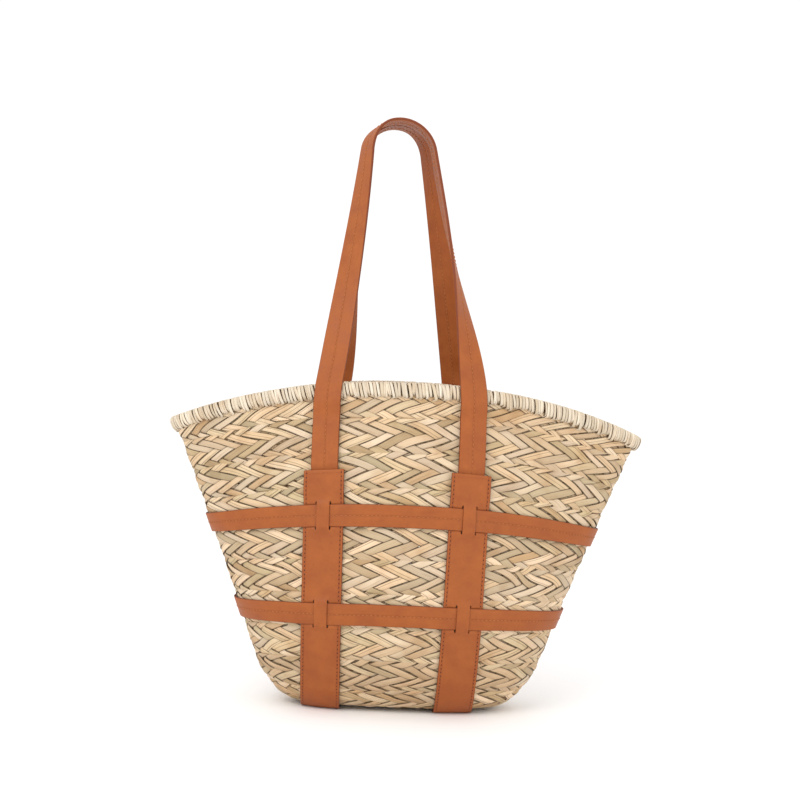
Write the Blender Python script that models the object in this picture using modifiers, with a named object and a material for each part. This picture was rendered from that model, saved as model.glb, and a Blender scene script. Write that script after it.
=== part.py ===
"""Beach bag: a plaited basket in a leather harness with two long shoulder handles.

The basket is one long braid wound from the base to the mouth, modelled as a flat start in the base and one
closed round of braid for each turn of the wall. Its rim is a rope core inside a bound cover. Two wide straps
run down the front, under the base and up the back. Two belts go round the basket and pass under keepers cut
in the straps. The two handles are sewn under the tops of the straps and fold outwards there.

Metres, +Z up, front towards -Y. The origin is at the middle of the underside, where the straps meet the floor.
"""
import math

import bmesh
import bpy
import numpy as np
from mathutils import Vector

# ---- Basket ----------------------------------------------------------------------------------------------
BASKET_HEIGHT = 0.300       # base's underside to the top of the rim, at the middle of the front
RIM_WIDTH = 0.440           # side to side at the mouth
RIM_DEPTH = 0.130           # front to back at the mouth
BELLY_DEPTH = 0.160         # front to back where the basket is deepest
BELLY_HEIGHT = 0.155        # height of that deepest place above the base
FOOT_WIDTH = 0.2384         # width at the base, before its edge is rounded
FOOT_DEPTH = 0.126          # depth at the base, before its edge is rounded
SIDE_ROUND = (0.0277, 0.045)    # rounding of the base's edge at the sides: inwards, upwards
FRONT_ROUND = (0.034, 0.110)    # rounding of the base's edge at front and back: inwards, upwards
BASE_FULLNESS = 1.25        # 1 is an ellipse, more is squarer, less is pointed
RIM_FULLNESS = 0.70
SIDE_DROP = 0.041           # how far the rim's ends hang below its middle
DROP_RISE_POWER = 1.6       # how quickly that droop dies away towards the base
DROP_SPREAD_POWER = 2.2     # how much of it is kept to the ends

RING_SEGMENTS = 48          # round the base and each turn of the wall
WALL_ROUNDS = 10            # turns of the braid in the wall, the last cut off under the rim
LOWEST_ROUND = (0.0, 0.12, 0.28, 0.5, 0.75)     # shares of the lowest turn's height at the corners of its face
BRAID_THICKNESS = 0.0045
BRAID_BULGE = 0.0010        # the middle of a braid stands out from its sewn edges
PIECE_GAP = 0.0003          # between touching pieces
WELD_DISTANCE = 0.00002     # corners nearer than this are one corner

# ---- Rim -------------------------------------------------------------------------------------------------
BINDING_HEIGHT = 0.0160
BINDING_THICKNESS = 0.0014
BINDING_STAND_OUT = 0.0035  # outer face of the binding in front of the wall's face
BINDING_SHOULDER = 0.42     # its faces curve over from this share of its height below the top
BINDING_CROWN = (0.45, 0.0012)  # a corner of that curve: share of its half thickness, and depth below the top
CORE_RADIUS = 0.0033
CORE_SIDES = 7
CORE_TOP_GAP = 0.0034       # the wall's top edge stays this far below the core
RIM_SEGMENTS = 56

# ---- Wide straps -----------------------------------------------------------------------------------------
STRAP_WIDTH = 0.0355
STRAP_THICKNESS = 0.0016
STRAP_CLEARANCE = 0.0007    # between the wall and the back of a strap
STRAP_TOP_BELOW_RIM = 0.078
STRAP_SPACING_FRONT = 0.130     # between the straps' centre lines, at the tops of the front runs
STRAP_SPACING_BACK = 0.118
STRAP_SPACING_BASE = 0.121
HARNESS_SHIFT = -0.009      # the harness sits a little to one side of the basket's middle
STRAP_STEP = 0.0130         # longest stretch of strap between two rows of its mesh
FOOT_STEP = 0.0028          # the same round the base's edge
FOOT_BEND = 0.026           # length of wall that bends sharply at the base's edge
FLOOR_CUTS = 5              # pieces of strap under the base

# ---- Belts and their keepers -----------------------------------------------------------------------------
BELT_WIDTH = 0.020
BELT_THICKNESS = 0.0016
BELT_HEIGHTS = {"lower_belt": 0.0925, "upper_belt": 0.1810}
BELT_SEGMENTS = 60
KEEPER_WIDTH = 0.0115
SLIT_WIDTH = 0.0005
SLIT_OVERRUN = 0.0030       # the slits run this far past each edge of the belt
BELT_CLEARANCE = 0.0005     # on each face of a belt

# ---- Handles ---------------------------------------------------------------------------------------------
HANDLE_WIDTH = 0.024
HANDLE_THICKNESS = 0.0030
HANDLE_CLEARANCE = 0.0009   # between the wall or the rim and the back of a handle
HANDLE_RISE = 0.2445        # rim's top to the handle's top
ARCH_RADIUS = {"front": 0.0315, "back": 0.0290}     # centre line of the strap at the top of a handle
ARCH_TURN = math.radians(5)     # the arches are turned this much about the vertical
ARCH_SPREAD = math.radians(8)   # the legs leave the arch at this angle to the vertical
WALL_SLOPE = 0.09           # sideways lean of a leg as it reaches the rim
FREE_SLOPE = {-1: 0.16, 1: 0.12}    # and as it leaves it, of the left and the right legs
RIM_SPACING = {"front": 0.127, "back": 0.112}   # between the legs of a handle where they pass the rim
HANDLE_LEAN = -0.0110       # sideways lean of the arch
LEAN_POWER = 1.4            # how late up the legs it comes
ARCH_GAP = 0.0015           # between the two arches, which stand side by side
SLOW_TWIST_POWER = 0.95     # one leg of each handle turns edge-on late, the other early
FAST_TWIST_POWER = 2.4
TWIST_LEFT = math.radians(22)   # what the slow leg still has to turn when it reaches the arch
TWIST_END = math.radians(75)    # where on the arch it has done so
HANDLE_STEP = 0.0085        # between two rows of a handle's mesh
RIM_APPROACH = 0.0140       # a handle starts to climb on to the rim this far below the binding
RIM_CLIMB = 0.0120          # and takes this length over it
TAIL_LENGTH = 0.0200        # sewn end of a handle, under the top of a strap
TAIL_THICKNESS = 0.0020
TAIL_RAMP = 0.0050          # length over which a strap climbs on to the tail
TAIL_ROWS = 4
HANDLE_SHOULDER_GAP = 0.0006    # between a strap's top edge and the foot of the handle

# ---- Colours ---------------------------------------------------------------------------------------------
STRAW = (0.57, 0.39, 0.24, 1.0)
PALE_STRAW = (0.63, 0.50, 0.34, 1.0)
ROPE = (0.45, 0.33, 0.20, 1.0)
STRAP_TAN = (0.46, 0.13, 0.05, 1.0)
HANDLE_TAN = (0.42, 0.12, 0.045, 1.0)

# ---- Worked out from the sizes above ---------------------------------------------------------------------
BASE_LIFT = STRAP_THICKNESS + STRAP_CLEARANCE       # the basket stands on the straps
STRAP_OUTER = STRAP_CLEARANCE + STRAP_THICKNESS
BELT_OFFSET = STRAP_OUTER + BELT_CLEARANCE
KEEPER_OFFSET = BELT_OFFSET + BELT_THICKNESS + BELT_CLEARANCE
TAIL_COVER_OFFSET = STRAP_CLEARANCE + TAIL_THICKNESS + PIECE_GAP
WALL_TOP_BELOW_RIM = BINDING_THICKNESS + 2 * CORE_RADIUS + CORE_TOP_GAP


# ==== Basket surface ======================================================================================
def arc_inset(height, inset, rise):
    """How far a rounded lower edge stands in from the straight wall at this height."""
    left = 1.0 - min(height / rise, 1.0)
    return inset * (1.0 - math.sqrt(max(0.0, 1.0 - left * left)))


def half_width(height):
    """Half of the basket's width at a height above its base."""
    straight = FOOT_WIDTH / 2 + (RIM_WIDTH - FOOT_WIDTH) / 2 * height / BASKET_HEIGHT
    return straight - arc_inset(height, *SIDE_ROUND)


def half_depth(height):
    """Half of the basket's depth at a height above its base."""
    if height > BELLY_HEIGHT:
        end, reach = RIM_DEPTH, (height - BELLY_HEIGHT) / (BASKET_HEIGHT - BELLY_HEIGHT)
    else:
        end, reach = FOOT_DEPTH, (BELLY_HEIGHT - height) / BELLY_HEIGHT
    belly = BELLY_DEPTH / 2 - (BELLY_DEPTH - end) / 2 * reach * reach
    return belly - arc_inset(height, *FRONT_ROUND)


def front_profile():
    """Lengths up the middle of the front wall from the base's edge, and the height at each."""
    heights = BASKET_HEIGHT * np.linspace(0.0, 1.0, 3000) ** 2
    depths = np.array([half_depth(h) for h in heights])
    steps = np.hypot(np.diff(heights), np.diff(depths))
    return np.concatenate([[0.0], np.cumsum(steps)]), heights


LENGTHS, HEIGHTS = front_profile()
WALL_LENGTH = float(LENGTHS[-1])        # base's edge to the rim's top, along the middle of the front


def height_at(length):
    """Height above the base after this length of wall."""
    return float(np.interp(length, LENGTHS, HEIGHTS))


def length_at(height):
    """Length of wall up to this height above the base."""
    return float(np.interp(height, HEIGHTS, LENGTHS))


def wall_point(angle, length):
    """A point of the wall's outer surface. The angle is -90 degrees at the middle of the front, 0 at +X."""
    height = height_at(length)
    level = height / BASKET_HEIGHT
    fullness = BASE_FULLNESS + (RIM_FULLNESS - BASE_FULLNESS) * level
    side, front = math.cos(angle), math.sin(angle)
    drop = SIDE_DROP * level ** DROP_RISE_POWER * abs(side) ** DROP_SPREAD_POWER
    return Vector((half_width(height) * side,
                   half_depth(height) * front * (fullness + (1.0 - fullness) * front * front),
                   height - drop + BASE_LIFT))


def wall_frame(angle, length):
    """A point of the wall, its outward normal and the direction up the wall."""
    step = 0.0004
    low, high = max(0.0, length - step), min(WALL_LENGTH, length + step)
    up = (wall_point(angle, high) - wall_point(angle, low)).normalized()
    round_ = (wall_point(angle + 0.002, length) - wall_point(angle - 0.002, length)).normalized()
    return wall_point(angle, length), round_.cross(up).normalized(), up


def off_wall(angle, length, offset):
    """A point at this distance outside the wall."""
    point, normal, _ = wall_frame(angle, length)
    return point + normal * offset


def wall_angle(x, length, side):
    """The angle at which the wall has this x. The side is -1 at the front and +1 at the back."""
    reach = max(-1.0, min(1.0, x / half_width(height_at(length))))
    return side * math.acos(reach)


# ==== Building tools ======================================================================================
def collection(name):
    """A new collection in the scene."""
    made = bpy.data.collections.new(name)
    bpy.context.scene.collection.children.link(made)
    return made


def material(name, colour, roughness):
    """A plain finish."""
    made = bpy.data.materials.new(name)
    made.use_nodes = True
    shader = made.node_tree.nodes["Principled BSDF"]
    shader.inputs["Base Color"].default_value = colour
    shader.inputs["Roughness"].default_value = roughness
    shader.inputs["Metallic"].default_value = 0.0
    return made


def to_object(bm, name, parts, finish, origin=Vector((0.0, 0.0, 0.0))):
    """Turns a bmesh in world space into a smooth-shaded object with its origin where it is asked for."""
    bmesh.ops.translate(bm, verts=bm.verts, vec=-origin)
    mesh = bpy.data.meshes.new(name)
    bm.to_mesh(mesh)
    bm.free()
    mesh.shade_smooth()
    mesh.set_sharp_from_angle(angle=math.radians(40))
    mesh.materials.append(finish)
    made = bpy.data.objects.new(name, mesh)
    made.location = origin
    parts.objects.link(made)
    return made


def thicken(made, thickness, offset):
    """Gives an open surface its wall. Offset 1 grows it outwards, -1 inwards."""
    solid = made.modifiers.new("wall", "SOLIDIFY")
    solid.thickness = thickness
    solid.offset = offset
    solid.use_even_offset = True
    solid.use_quality_normals = True
    return made


def open_tube(segments, rows):
    """An open tube of so many segments round and rows up, with each vertex's column and row."""
    bm = bmesh.new()
    bmesh.ops.create_cone(bm, cap_ends=False, segments=segments, radius1=1.0, radius2=1.0, depth=2.0)
    upright = [e for e in bm.edges if abs(e.verts[0].co.z - e.verts[1].co.z) > 1.0]
    if rows > 2:
        bmesh.ops.subdivide_edges(bm, edges=upright, cuts=rows - 2, use_grid_fill=True)
    places = {}
    for vert in bm.verts:
        column = round(math.atan2(vert.co.y, vert.co.x) / (2 * math.pi) * segments) % segments
        places[vert] = (column, round((vert.co.z + 1.0) / 2.0 * (rows - 1)))
    return bm, places


def ring(segments, corners, place):
    """A closed ring. place(angle, corner) gives each corner of its section, in order round the section."""
    bm, places = open_tube(segments, corners + 1)
    for vert, (column, row) in places.items():
        vert.co = place(2 * math.pi * column / segments, row % corners)
    bmesh.ops.remove_doubles(bm, verts=bm.verts, dist=WELD_DISTANCE)
    bmesh.ops.recalc_face_normals(bm, faces=bm.faces)
    return bm


def wall_ring(segments, section):
    """A closed ring that follows the wall. Its section is a list of lengths up the wall and offsets from it."""
    return ring(segments, len(section), lambda angle, corner: off_wall(angle, *section[corner]))


def wrap_grid(columns, rows, place, outward):
    """An open sheet whose vertices are placed by place(column, row). Its first face looks outward."""
    bm = bmesh.new()
    bmesh.ops.create_grid(bm, x_segments=columns - 1, y_segments=rows - 1, size=1.0)
    spots = {}
    for vert in bm.verts:
        column = round((vert.co.x + 1.0) / 2.0 * (columns - 1))
        row = round((vert.co.y + 1.0) / 2.0 * (rows - 1))
        spots[vert] = (column, row)
    for vert, (column, row) in spots.items():
        vert.co = place(column, row)
    bm.normal_update()
    first = min(bm.faces, key=lambda face: max(spots[vert][1] for vert in face.verts))
    if first.normal.dot(outward) < 0:
        bmesh.ops.reverse_faces(bm, faces=bm.faces)
    return bm, spots


# ==== Basket ==============================================================================================
def make_base(parts, finish):
    """The flat oval start of the braid, standing on the straps."""
    bm = bmesh.new()
    bmesh.ops.create_circle(bm, cap_ends=True, segments=RING_SEGMENTS, radius=1.0)
    for vert in bm.verts:
        angle = math.atan2(vert.co.y, vert.co.x)
        edge = wall_point(angle, 0.0)
        outwards = Vector((math.cos(angle) * half_depth(0.0), math.sin(angle) * half_width(0.0), 0.0))
        vert.co = edge - outwards.normalized() * PIECE_GAP
    bm.normal_update()
    for face in bm.faces:
        if face.normal.z > 0:
            face.normal_flip()
    made = to_object(bm, "base_braid", parts, finish)
    return thicken(made, BRAID_THICKNESS, -1.0)


def make_wall(parts, finish):
    """One closed round of braid for each turn of the wall, the last of them cut off under the rim's rope."""
    top = WALL_LENGTH - WALL_TOP_BELOW_RIM
    pitch = WALL_LENGTH / WALL_ROUNDS
    for turn in range(WALL_ROUNDS):
        low = turn * pitch + PIECE_GAP
        high = min((turn + 1) * pitch, top) - PIECE_GAP / 2
        if turn == 0:
            outer = [(low + (high - low) * share, 0.0) for share in LOWEST_ROUND]
            outer.append((high, -BRAID_BULGE))
        else:
            outer = [(low, -BRAID_BULGE), ((low + high) / 2, 0.0), (high, -BRAID_BULGE)]
        inner = [(length, -BRAID_THICKNESS) for length, _ in outer[::-1]]
        to_object(wall_ring(RING_SEGMENTS, outer + inner), f"wall_round_{turn + 1}", parts, finish)


def make_rim(parts, core_finish, binding_finish):
    """The rope core along the wall's top edge, and the cover bound over both."""
    wall_middle = -BRAID_THICKNESS / 2
    half = BRAID_THICKNESS / 2 + BINDING_STAND_OUT
    crown_share, crown_depth = BINDING_CROWN

    def channel(inset):
        """Half of the binding's section, from its lower edge up to its top, this far inside its outer face."""
        return [(half - inset, BINDING_HEIGHT), (half - inset, BINDING_HEIGHT * BINDING_SHOULDER),
                (half * crown_share, inset + crown_depth), (0.0, inset)]

    outside, inside = channel(0.0), channel(BINDING_THICKNESS)
    section = outside + [(-across, down) for across, down in outside[-2::-1]]
    section += [(-across, down) for across, down in inside] + inside[-2::-1]
    section = [(wall_middle + across, down) for across, down in section]

    def on_rim(angle, across, down):
        """A point this far outside the wall's face and this far below the rim's top."""
        point, normal, up = wall_frame(angle, WALL_LENGTH)
        return point + normal * across - up * down

    bm = ring(RIM_SEGMENTS, len(section), lambda angle, index: on_rim(angle, *section[index]))
    to_object(bm, "rim_binding", parts, binding_finish)

    core_depth = BINDING_THICKNESS + CORE_RADIUS + PIECE_GAP * 2
    turns = [2 * math.pi * side / CORE_SIDES for side in range(CORE_SIDES)]
    circle = [(wall_middle + CORE_RADIUS * math.cos(turn), core_depth - CORE_RADIUS * math.sin(turn))
              for turn in turns]
    bm = ring(RIM_SEGMENTS, CORE_SIDES, lambda angle, index: on_rim(angle, *circle[index]))
    to_object(bm, "rim_core", parts, core_finish)


# ==== Wide straps =========================================================================================
STRAP_TOP = length_at(BASKET_HEIGHT - STRAP_TOP_BELOW_RIM)      # length of wall up to a strap's top edge


def strap_centre(hand, side, length):
    """x of a strap's centre line. hand is -1 for the left strap, side -1 at the front."""
    top = STRAP_SPACING_FRONT if side < 0 else STRAP_SPACING_BACK
    spacing = STRAP_SPACING_BASE + (top - STRAP_SPACING_BASE) * length / STRAP_TOP
    return HARNESS_SHIFT + hand * spacing / 2


def belt_lengths():
    """Lengths of wall up to the middles of the belts."""
    return [length_at(height) for height in BELT_HEIGHTS.values()]


def strap_rows():
    """Lengths of wall at the rows of a strap's mesh, from the base's edge to its top."""
    rows = {0.0, FOOT_BEND, STRAP_TOP, STRAP_TOP - TAIL_LENGTH, STRAP_TOP - TAIL_LENGTH - TAIL_RAMP}
    for belt in belt_lengths():
        half = BELT_WIDTH / 2
        rows |= {belt - half - SLIT_OVERRUN, belt - half - BELT_CLEARANCE, belt,
                 belt + half + BELT_CLEARANCE, belt + half + SLIT_OVERRUN}
    fixed = sorted(rows)
    filled = [fixed[0]]
    for low, high in zip(fixed, fixed[1:]):
        step = FOOT_STEP if high <= FOOT_BEND else STRAP_STEP
        cuts = max(1, math.ceil((high - low) / step))
        filled += [low + (high - low) * (cut + 1) / cuts for cut in range(cuts)]
    return filled


def keeper_rise(length):
    """How far a keeper stands out from its strap at this length up the wall."""
    for belt in belt_lengths():
        past = abs(length - belt) - BELT_WIDTH / 2 - BELT_CLEARANCE
        if past <= 1e-6:
            return KEEPER_OFFSET - STRAP_CLEARANCE
    return 0.0


def tail_rise(length):
    """How far a strap stands out over the handle's sewn end at this length up the wall."""
    climbed = (length - (STRAP_TOP - TAIL_LENGTH - TAIL_RAMP)) / TAIL_RAMP
    return max(0.0, min(1.0, climbed)) * (TAIL_COVER_OFFSET - STRAP_CLEARANCE)


def make_strap(name, hand, parts, finish):
    """A wide strap: down the front, under the base and up the back, slit at each belt."""
    keeper, outer_slit = KEEPER_WIDTH / 2, KEEPER_WIDTH / 2 + SLIT_WIDTH
    across = [-STRAP_WIDTH / 2, -outer_slit, -keeper, 0.0, keeper, outer_slit, STRAP_WIDTH / 2]
    up = strap_rows()
    stations = [(-1, length) for length in reversed(up[1:])]
    stations += [(0, -1.0 + 2.0 * cut / FLOOR_CUTS) for cut in range(FLOOR_CUTS + 1)]
    stations += [(1, length) for length in up[1:]]

    def place(column, row):
        side, along = stations[row]
        reach = across[column]
        if side == 0:
            x = strap_centre(hand, -1, 0.0) + reach
            edge = wall_point(wall_angle(x, 0.0, 1), 0.0).y
            return Vector((x, edge * along, BASE_LIFT - STRAP_CLEARANCE))
        x = strap_centre(hand, side, along) + reach
        offset = STRAP_CLEARANCE + tail_rise(along)
        if abs(reach) <= keeper + 1e-6:
            offset += keeper_rise(along)
        return off_wall(wall_angle(x, along, side), along, offset)

    bm, spots = wrap_grid(len(across), len(stations), place, Vector((0.0, -1.0, 0.0)))
    slits = [belt + way * (BELT_WIDTH / 2 + SLIT_OVERRUN) for belt in belt_lengths() for way in (-1, 1)]
    spans = list(zip(slits[0::2], slits[1::2]))

    def in_slit(face):
        columns = sorted({spots[v][0] for v in face.verts})
        if columns not in ([1, 2], [4, 5]):
            return False
        ends = [stations[spots[v][1]] for v in face.verts]
        if any(side == 0 for side, _ in ends):
            return False
        low, high = min(e[1] for e in ends), max(e[1] for e in ends)
        return any(low > a - 1e-6 and high < b + 1e-6 for a, b in spans)

    gone = [face for face in bm.faces if in_slit(face)]
    bmesh.ops.delete(bm, geom=gone, context="FACES")
    return thicken(to_object(bm, name, parts, finish), STRAP_THICKNESS, 1.0)


# ==== Belts ===============================================================================================
def make_belt(name, height, parts, finish):
    """A belt right round the basket, outside the straps and inside their keepers."""
    middle = length_at(height)
    low, high = middle - BELT_WIDTH / 2, middle + BELT_WIDTH / 2
    inner, outer = BELT_OFFSET, BELT_OFFSET + BELT_THICKNESS
    section = [(low, inner), (low, outer), (high, outer), (high, inner)]
    to_object(wall_ring(BELT_SEGMENTS, section), name, parts, finish)


# ==== Handles =============================================================================================
RIM_TOP = BASKET_HEIGHT + BASE_LIFT
ARCH_TOP = RIM_TOP + HANDLE_RISE
ARCH_ALONG = Vector((math.cos(ARCH_TURN), math.sin(ARCH_TURN), 0.0))
ARCH_ASIDE = Vector((-math.sin(ARCH_TURN), math.cos(ARCH_TURN), 0.0))


def side_name(way):
    """Name of the side, -1 for the front."""
    return "front" if way < 0 else "back"


def ease(value):
    """Goes smoothly from 0 to 1."""
    value = max(0.0, min(1.0, value))
    return value * value * (3.0 - 2.0 * value)


def lean_at(height):
    """Sideways lean of a handle at this height."""
    return HANDLE_LEAN * (max(0.0, height - RIM_TOP) / (ARCH_TOP - RIM_TOP)) ** LEAN_POWER


def curve_between(start, end, start_slope, end_slope, share):
    """A value between two others, which leaves the first and reaches the second at the given slopes."""
    cubic, square = share ** 3, share ** 2
    return ((2 * cubic - 3 * square + 1) * start + (cubic - 2 * square + share) * start_slope
            + (3 * square - 2 * cubic) * end + (cubic - square) * end_slope)


def arch_point(hand, way, turn):
    """Centre line of a handle's arch. hand -1 is the side where the turn is 0, way -1 is the front handle."""
    radius = ARCH_RADIUS[side_name(way)]
    height = ARCH_TOP - HANDLE_THICKNESS / 2 - radius * (1.0 - math.sin(turn))
    middle = Vector((HARNESS_SHIFT + lean_at(height), 0.0, height))
    apart = (HANDLE_WIDTH + ARCH_GAP) / 2
    return middle + ARCH_ALONG * hand * radius * math.cos(turn) + ARCH_ASIDE * way * apart


def leg_on_wall(hand, way, length):
    """The left edge, middle and right edge of a leg where it lies on the wall and over the rim."""
    low = strap_centre(hand, way, STRAP_TOP)
    rim = HARNESS_SHIFT + hand * RIM_SPACING[side_name(way)] / 2
    rise = WALL_LENGTH - STRAP_TOP
    x = curve_between(low, rim, 0.0, -hand * WALL_SLOPE * rise, (length - STRAP_TOP) / rise)
    over_rim = ease((length - (WALL_LENGTH - BINDING_HEIGHT - RIM_APPROACH)) / RIM_CLIMB)
    offset = HANDLE_CLEARANCE + HANDLE_THICKNESS / 2 + over_rim * BINDING_STAND_OUT
    return [off_wall(wall_angle(x + reach, length, way), length, offset)
            for reach in (-HANDLE_WIDTH / 2, 0.0, HANDLE_WIDTH / 2)]


def free_leg(hand, way, start, slope):
    """Points up a leg from the rim to the arch, with the share of the rise at each."""
    end = arch_point(hand, way, ARCH_SPREAD)
    rise = end.z - start.z
    steps = math.ceil(rise / HANDLE_STEP)
    points = []
    for step in range(1, steps):
        share = step / steps
        height = start.z + rise * share
        x = curve_between(start.x, end.x - lean_at(end.z), -hand * FREE_SLOPE[hand] * rise,
                          -hand * math.tan(ARCH_SPREAD) * rise, share)
        y = curve_between(start.y, end.y, rise * slope, 0.0, share)
        points.append((Vector((x + lean_at(height), y, height)), share))
    return points


def ribbon_row(point, run, face):
    """The three points across a strap that runs this way and faces that way."""
    face = (face - run * face.dot(run)).normalized()
    aside = run.cross(face).normalized()
    return [point + aside * reach for reach in (-HANDLE_WIDTH / 2, 0.0, HANDLE_WIDTH / 2)]


def leg_rows(hand, way):
    """Rows of a leg from its foot to the start of the arch, as its middle, its columns and its outer face."""
    foot = STRAP_TOP + HANDLE_SHOULDER_GAP
    count = math.ceil((WALL_LENGTH - foot) / HANDLE_STEP)
    rows = []
    for step in range(count + 1):
        columns = leg_on_wall(hand, way, foot + (WALL_LENGTH - foot) * step / count)
        rows.append((columns[1], columns[::hand * way], None))
    before, start = rows[-2][0], rows[-1][0]
    full = math.pi / 2 - hand * way * ARCH_TURN
    for point, share in free_leg(hand, way, start, (start.y - before.y) / (start.z - before.z)):
        if hand == way:
            turn = (full - TWIST_LEFT) * share ** SLOW_TWIST_POWER
        else:
            turn = full * (1.0 - (1.0 - share) ** FAST_TWIST_POWER)
        rows.append((point, None, Vector((hand * math.sin(turn), way * math.cos(turn), 0.0))))
    return rows


def arch_rows(way):
    """Rows over the arch, from the left leg to the right."""
    sweep = math.pi - 2 * ARCH_SPREAD
    steps = math.ceil(sweep * ARCH_RADIUS[side_name(way)] / HANDLE_STEP)
    rows = []
    for step in range(steps + 1):
        turn = ARCH_SPREAD + sweep * step / steps
        from_slow_leg = turn if way < 0 else math.pi - turn
        left = TWIST_LEFT * (1.0 - ease((from_slow_leg - ARCH_SPREAD) / (TWIST_END - ARCH_SPREAD)))
        out = Vector((0.0, 0.0, math.sin(turn))) - ARCH_ALONG * math.cos(turn)
        face = out * math.cos(left) + ARCH_ASIDE * way * math.sin(left)
        rows.append((arch_point(-1, way, turn), None, face))
    return rows


def handle_rows(way):
    """The three points across a handle at each row from its left foot to its right foot."""
    rows = leg_rows(-1, way) + arch_rows(way) + leg_rows(1, way)[::-1]
    made = []
    for index, (point, columns, face) in enumerate(rows):
        if columns is None:
            run = (rows[index + 1][0] - rows[index - 1][0]).normalized()
            columns = ribbon_row(point, run, face)
        made.append(columns)
    return made


def hinge_point(way):
    """Middle of the line about which a handle folds: just outside the strap's top edge, over a handle's width."""
    edge = [off_wall(wall_angle(strap_centre(hand, way, STRAP_TOP) + reach, STRAP_TOP, way), STRAP_TOP,
                     TAIL_COVER_OFFSET + STRAP_THICKNESS + PIECE_GAP)
            for hand in (-1, 1) for reach in (-HANDLE_WIDTH / 2, 0.0, HANDLE_WIDTH / 2)]
    return Vector((HARNESS_SHIFT, way * max(abs(point.y) for point in edge), max(point.z for point in edge)))


def make_handle(name, way, parts, finish):
    """A shoulder handle: a flat strap that turns edge-on above the rim and closes in a narrow arch."""
    rows = handle_rows(way)
    bm, _ = wrap_grid(3, len(rows), lambda column, row: rows[row][column], Vector((0.0, way, 0.0)))
    made = to_object(bm, name, parts, finish, hinge_point(way))
    return thicken(made, HANDLE_THICKNESS, 0.0)


def make_tail(name, hand, way, parts, finish):
    """The sewn end of a handle, between the wall and the top of a strap."""
    across = [-HANDLE_WIDTH / 2, 0.0, HANDLE_WIDTH / 2]
    bottom, top = STRAP_TOP - TAIL_LENGTH + PIECE_GAP * 2, STRAP_TOP - PIECE_GAP

    def place(column, row):
        length = bottom + (top - bottom) * row / (TAIL_ROWS - 1)
        x = strap_centre(hand, way, length) + across[column]
        return off_wall(wall_angle(x, length, way), length, STRAP_CLEARANCE)

    bm, _ = wrap_grid(len(across), TAIL_ROWS, place, Vector((0.0, way, 0.0)))
    return thicken(to_object(bm, name, parts, finish), TAIL_THICKNESS - PIECE_GAP, 1.0)


# ==== The bag =============================================================================================
def main():
    for old in list(bpy.data.objects):
        bpy.data.objects.remove(old, do_unlink=True)
    parts = collection("beach_bag")
    straw = material("plaited_palm_leaf", STRAW, 0.75)
    binding = material("rim_whipping", PALE_STRAW, 0.7)
    rope = material("rim_rope", ROPE, 0.8)
    strap_leather = material("strap_leather", STRAP_TAN, 0.5)
    handle_leather = material("handle_leather", HANDLE_TAN, 0.5)

    make_base(parts, straw)
    make_wall(parts, straw)
    make_rim(parts, rope, binding)
    make_strap("left_strap", -1, parts, strap_leather)
    make_strap("right_strap", 1, parts, strap_leather)
    for name, height in BELT_HEIGHTS.items():
        make_belt(name, height, parts, strap_leather)
    for side, way in (("front", -1), ("back", 1)):
        make_handle(f"{side}_handle", way, parts, handle_leather)
        for hand_name, hand in (("left", -1), ("right", 1)):
            make_tail(f"{side}_{hand_name}_tail", hand, way, parts, handle_leather)


main()
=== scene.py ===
"""Beach bag: a plaited palm-leaf basket in a stitched leather harness with two long shoulder handles.

Every turn of the wall is a real nine-strand flat plait, its strands passing over and under each other and
folding back at both edges. The rim is whipped with leaf strip over a rope. The harness is two wide straps,
two belts held under keepers cut in the straps, and two handles sewn under the straps' tops.

Metres, +Z up, front towards -Y. The wall's surface is the same one that the CAD model is laid on.
"""
import logging
import math
from dataclasses import dataclass, field
from enum import Enum
from typing import Callable, Sequence

import bmesh
import bpy
import numpy as np
from mathutils import Matrix, Vector


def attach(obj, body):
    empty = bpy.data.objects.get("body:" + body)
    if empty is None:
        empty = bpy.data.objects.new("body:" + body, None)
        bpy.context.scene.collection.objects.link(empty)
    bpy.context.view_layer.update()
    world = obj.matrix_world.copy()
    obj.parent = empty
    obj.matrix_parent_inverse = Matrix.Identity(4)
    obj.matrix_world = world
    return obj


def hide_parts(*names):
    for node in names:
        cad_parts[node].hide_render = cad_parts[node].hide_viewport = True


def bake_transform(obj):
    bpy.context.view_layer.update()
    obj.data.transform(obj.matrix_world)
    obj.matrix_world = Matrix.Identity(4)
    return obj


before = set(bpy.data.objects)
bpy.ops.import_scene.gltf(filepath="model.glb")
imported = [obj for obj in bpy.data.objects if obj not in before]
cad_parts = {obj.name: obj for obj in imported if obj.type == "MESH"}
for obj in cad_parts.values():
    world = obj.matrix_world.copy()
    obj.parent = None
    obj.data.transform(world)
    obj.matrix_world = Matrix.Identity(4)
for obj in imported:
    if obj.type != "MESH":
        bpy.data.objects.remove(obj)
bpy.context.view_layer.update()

log = logging.getLogger("beach_bag")

Array = np.ndarray
Placement = Callable[[Array, Array], Array]
Row = Callable[[Array], tuple[Array, Array]]    # from places along a row of stitches to points and facings

LEAF_CREASE = 75.0              # degrees past which an edge stays sharp
STRAP_CREASE = 60.0
NO_CREASE = 180.0
LEAF_HALF_WIDTH = 0.0032        # across a leaf's face, the UV map goes from minus to plus this
STRIP_HALF_WIDTH = 0.0026       # the same for the rim's strip
STITCH_PITCH = 0.0038
STITCH_INSET = 0.0024           # from a wide strap's edge
ANGLE_STEP = 0.002              # steps over which directions on the wall are measured
LENGTH_STEP = 0.0004
SKIN_STEP = 0.001


class Way(Enum):
    """Which face of the bag something is on, as the sign of its y."""

    FRONT = -1
    BACK = 1


class Hand(Enum):
    """Which side of the bag something is on, as the sign of its x."""

    LEFT = -1
    RIGHT = 1


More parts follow.
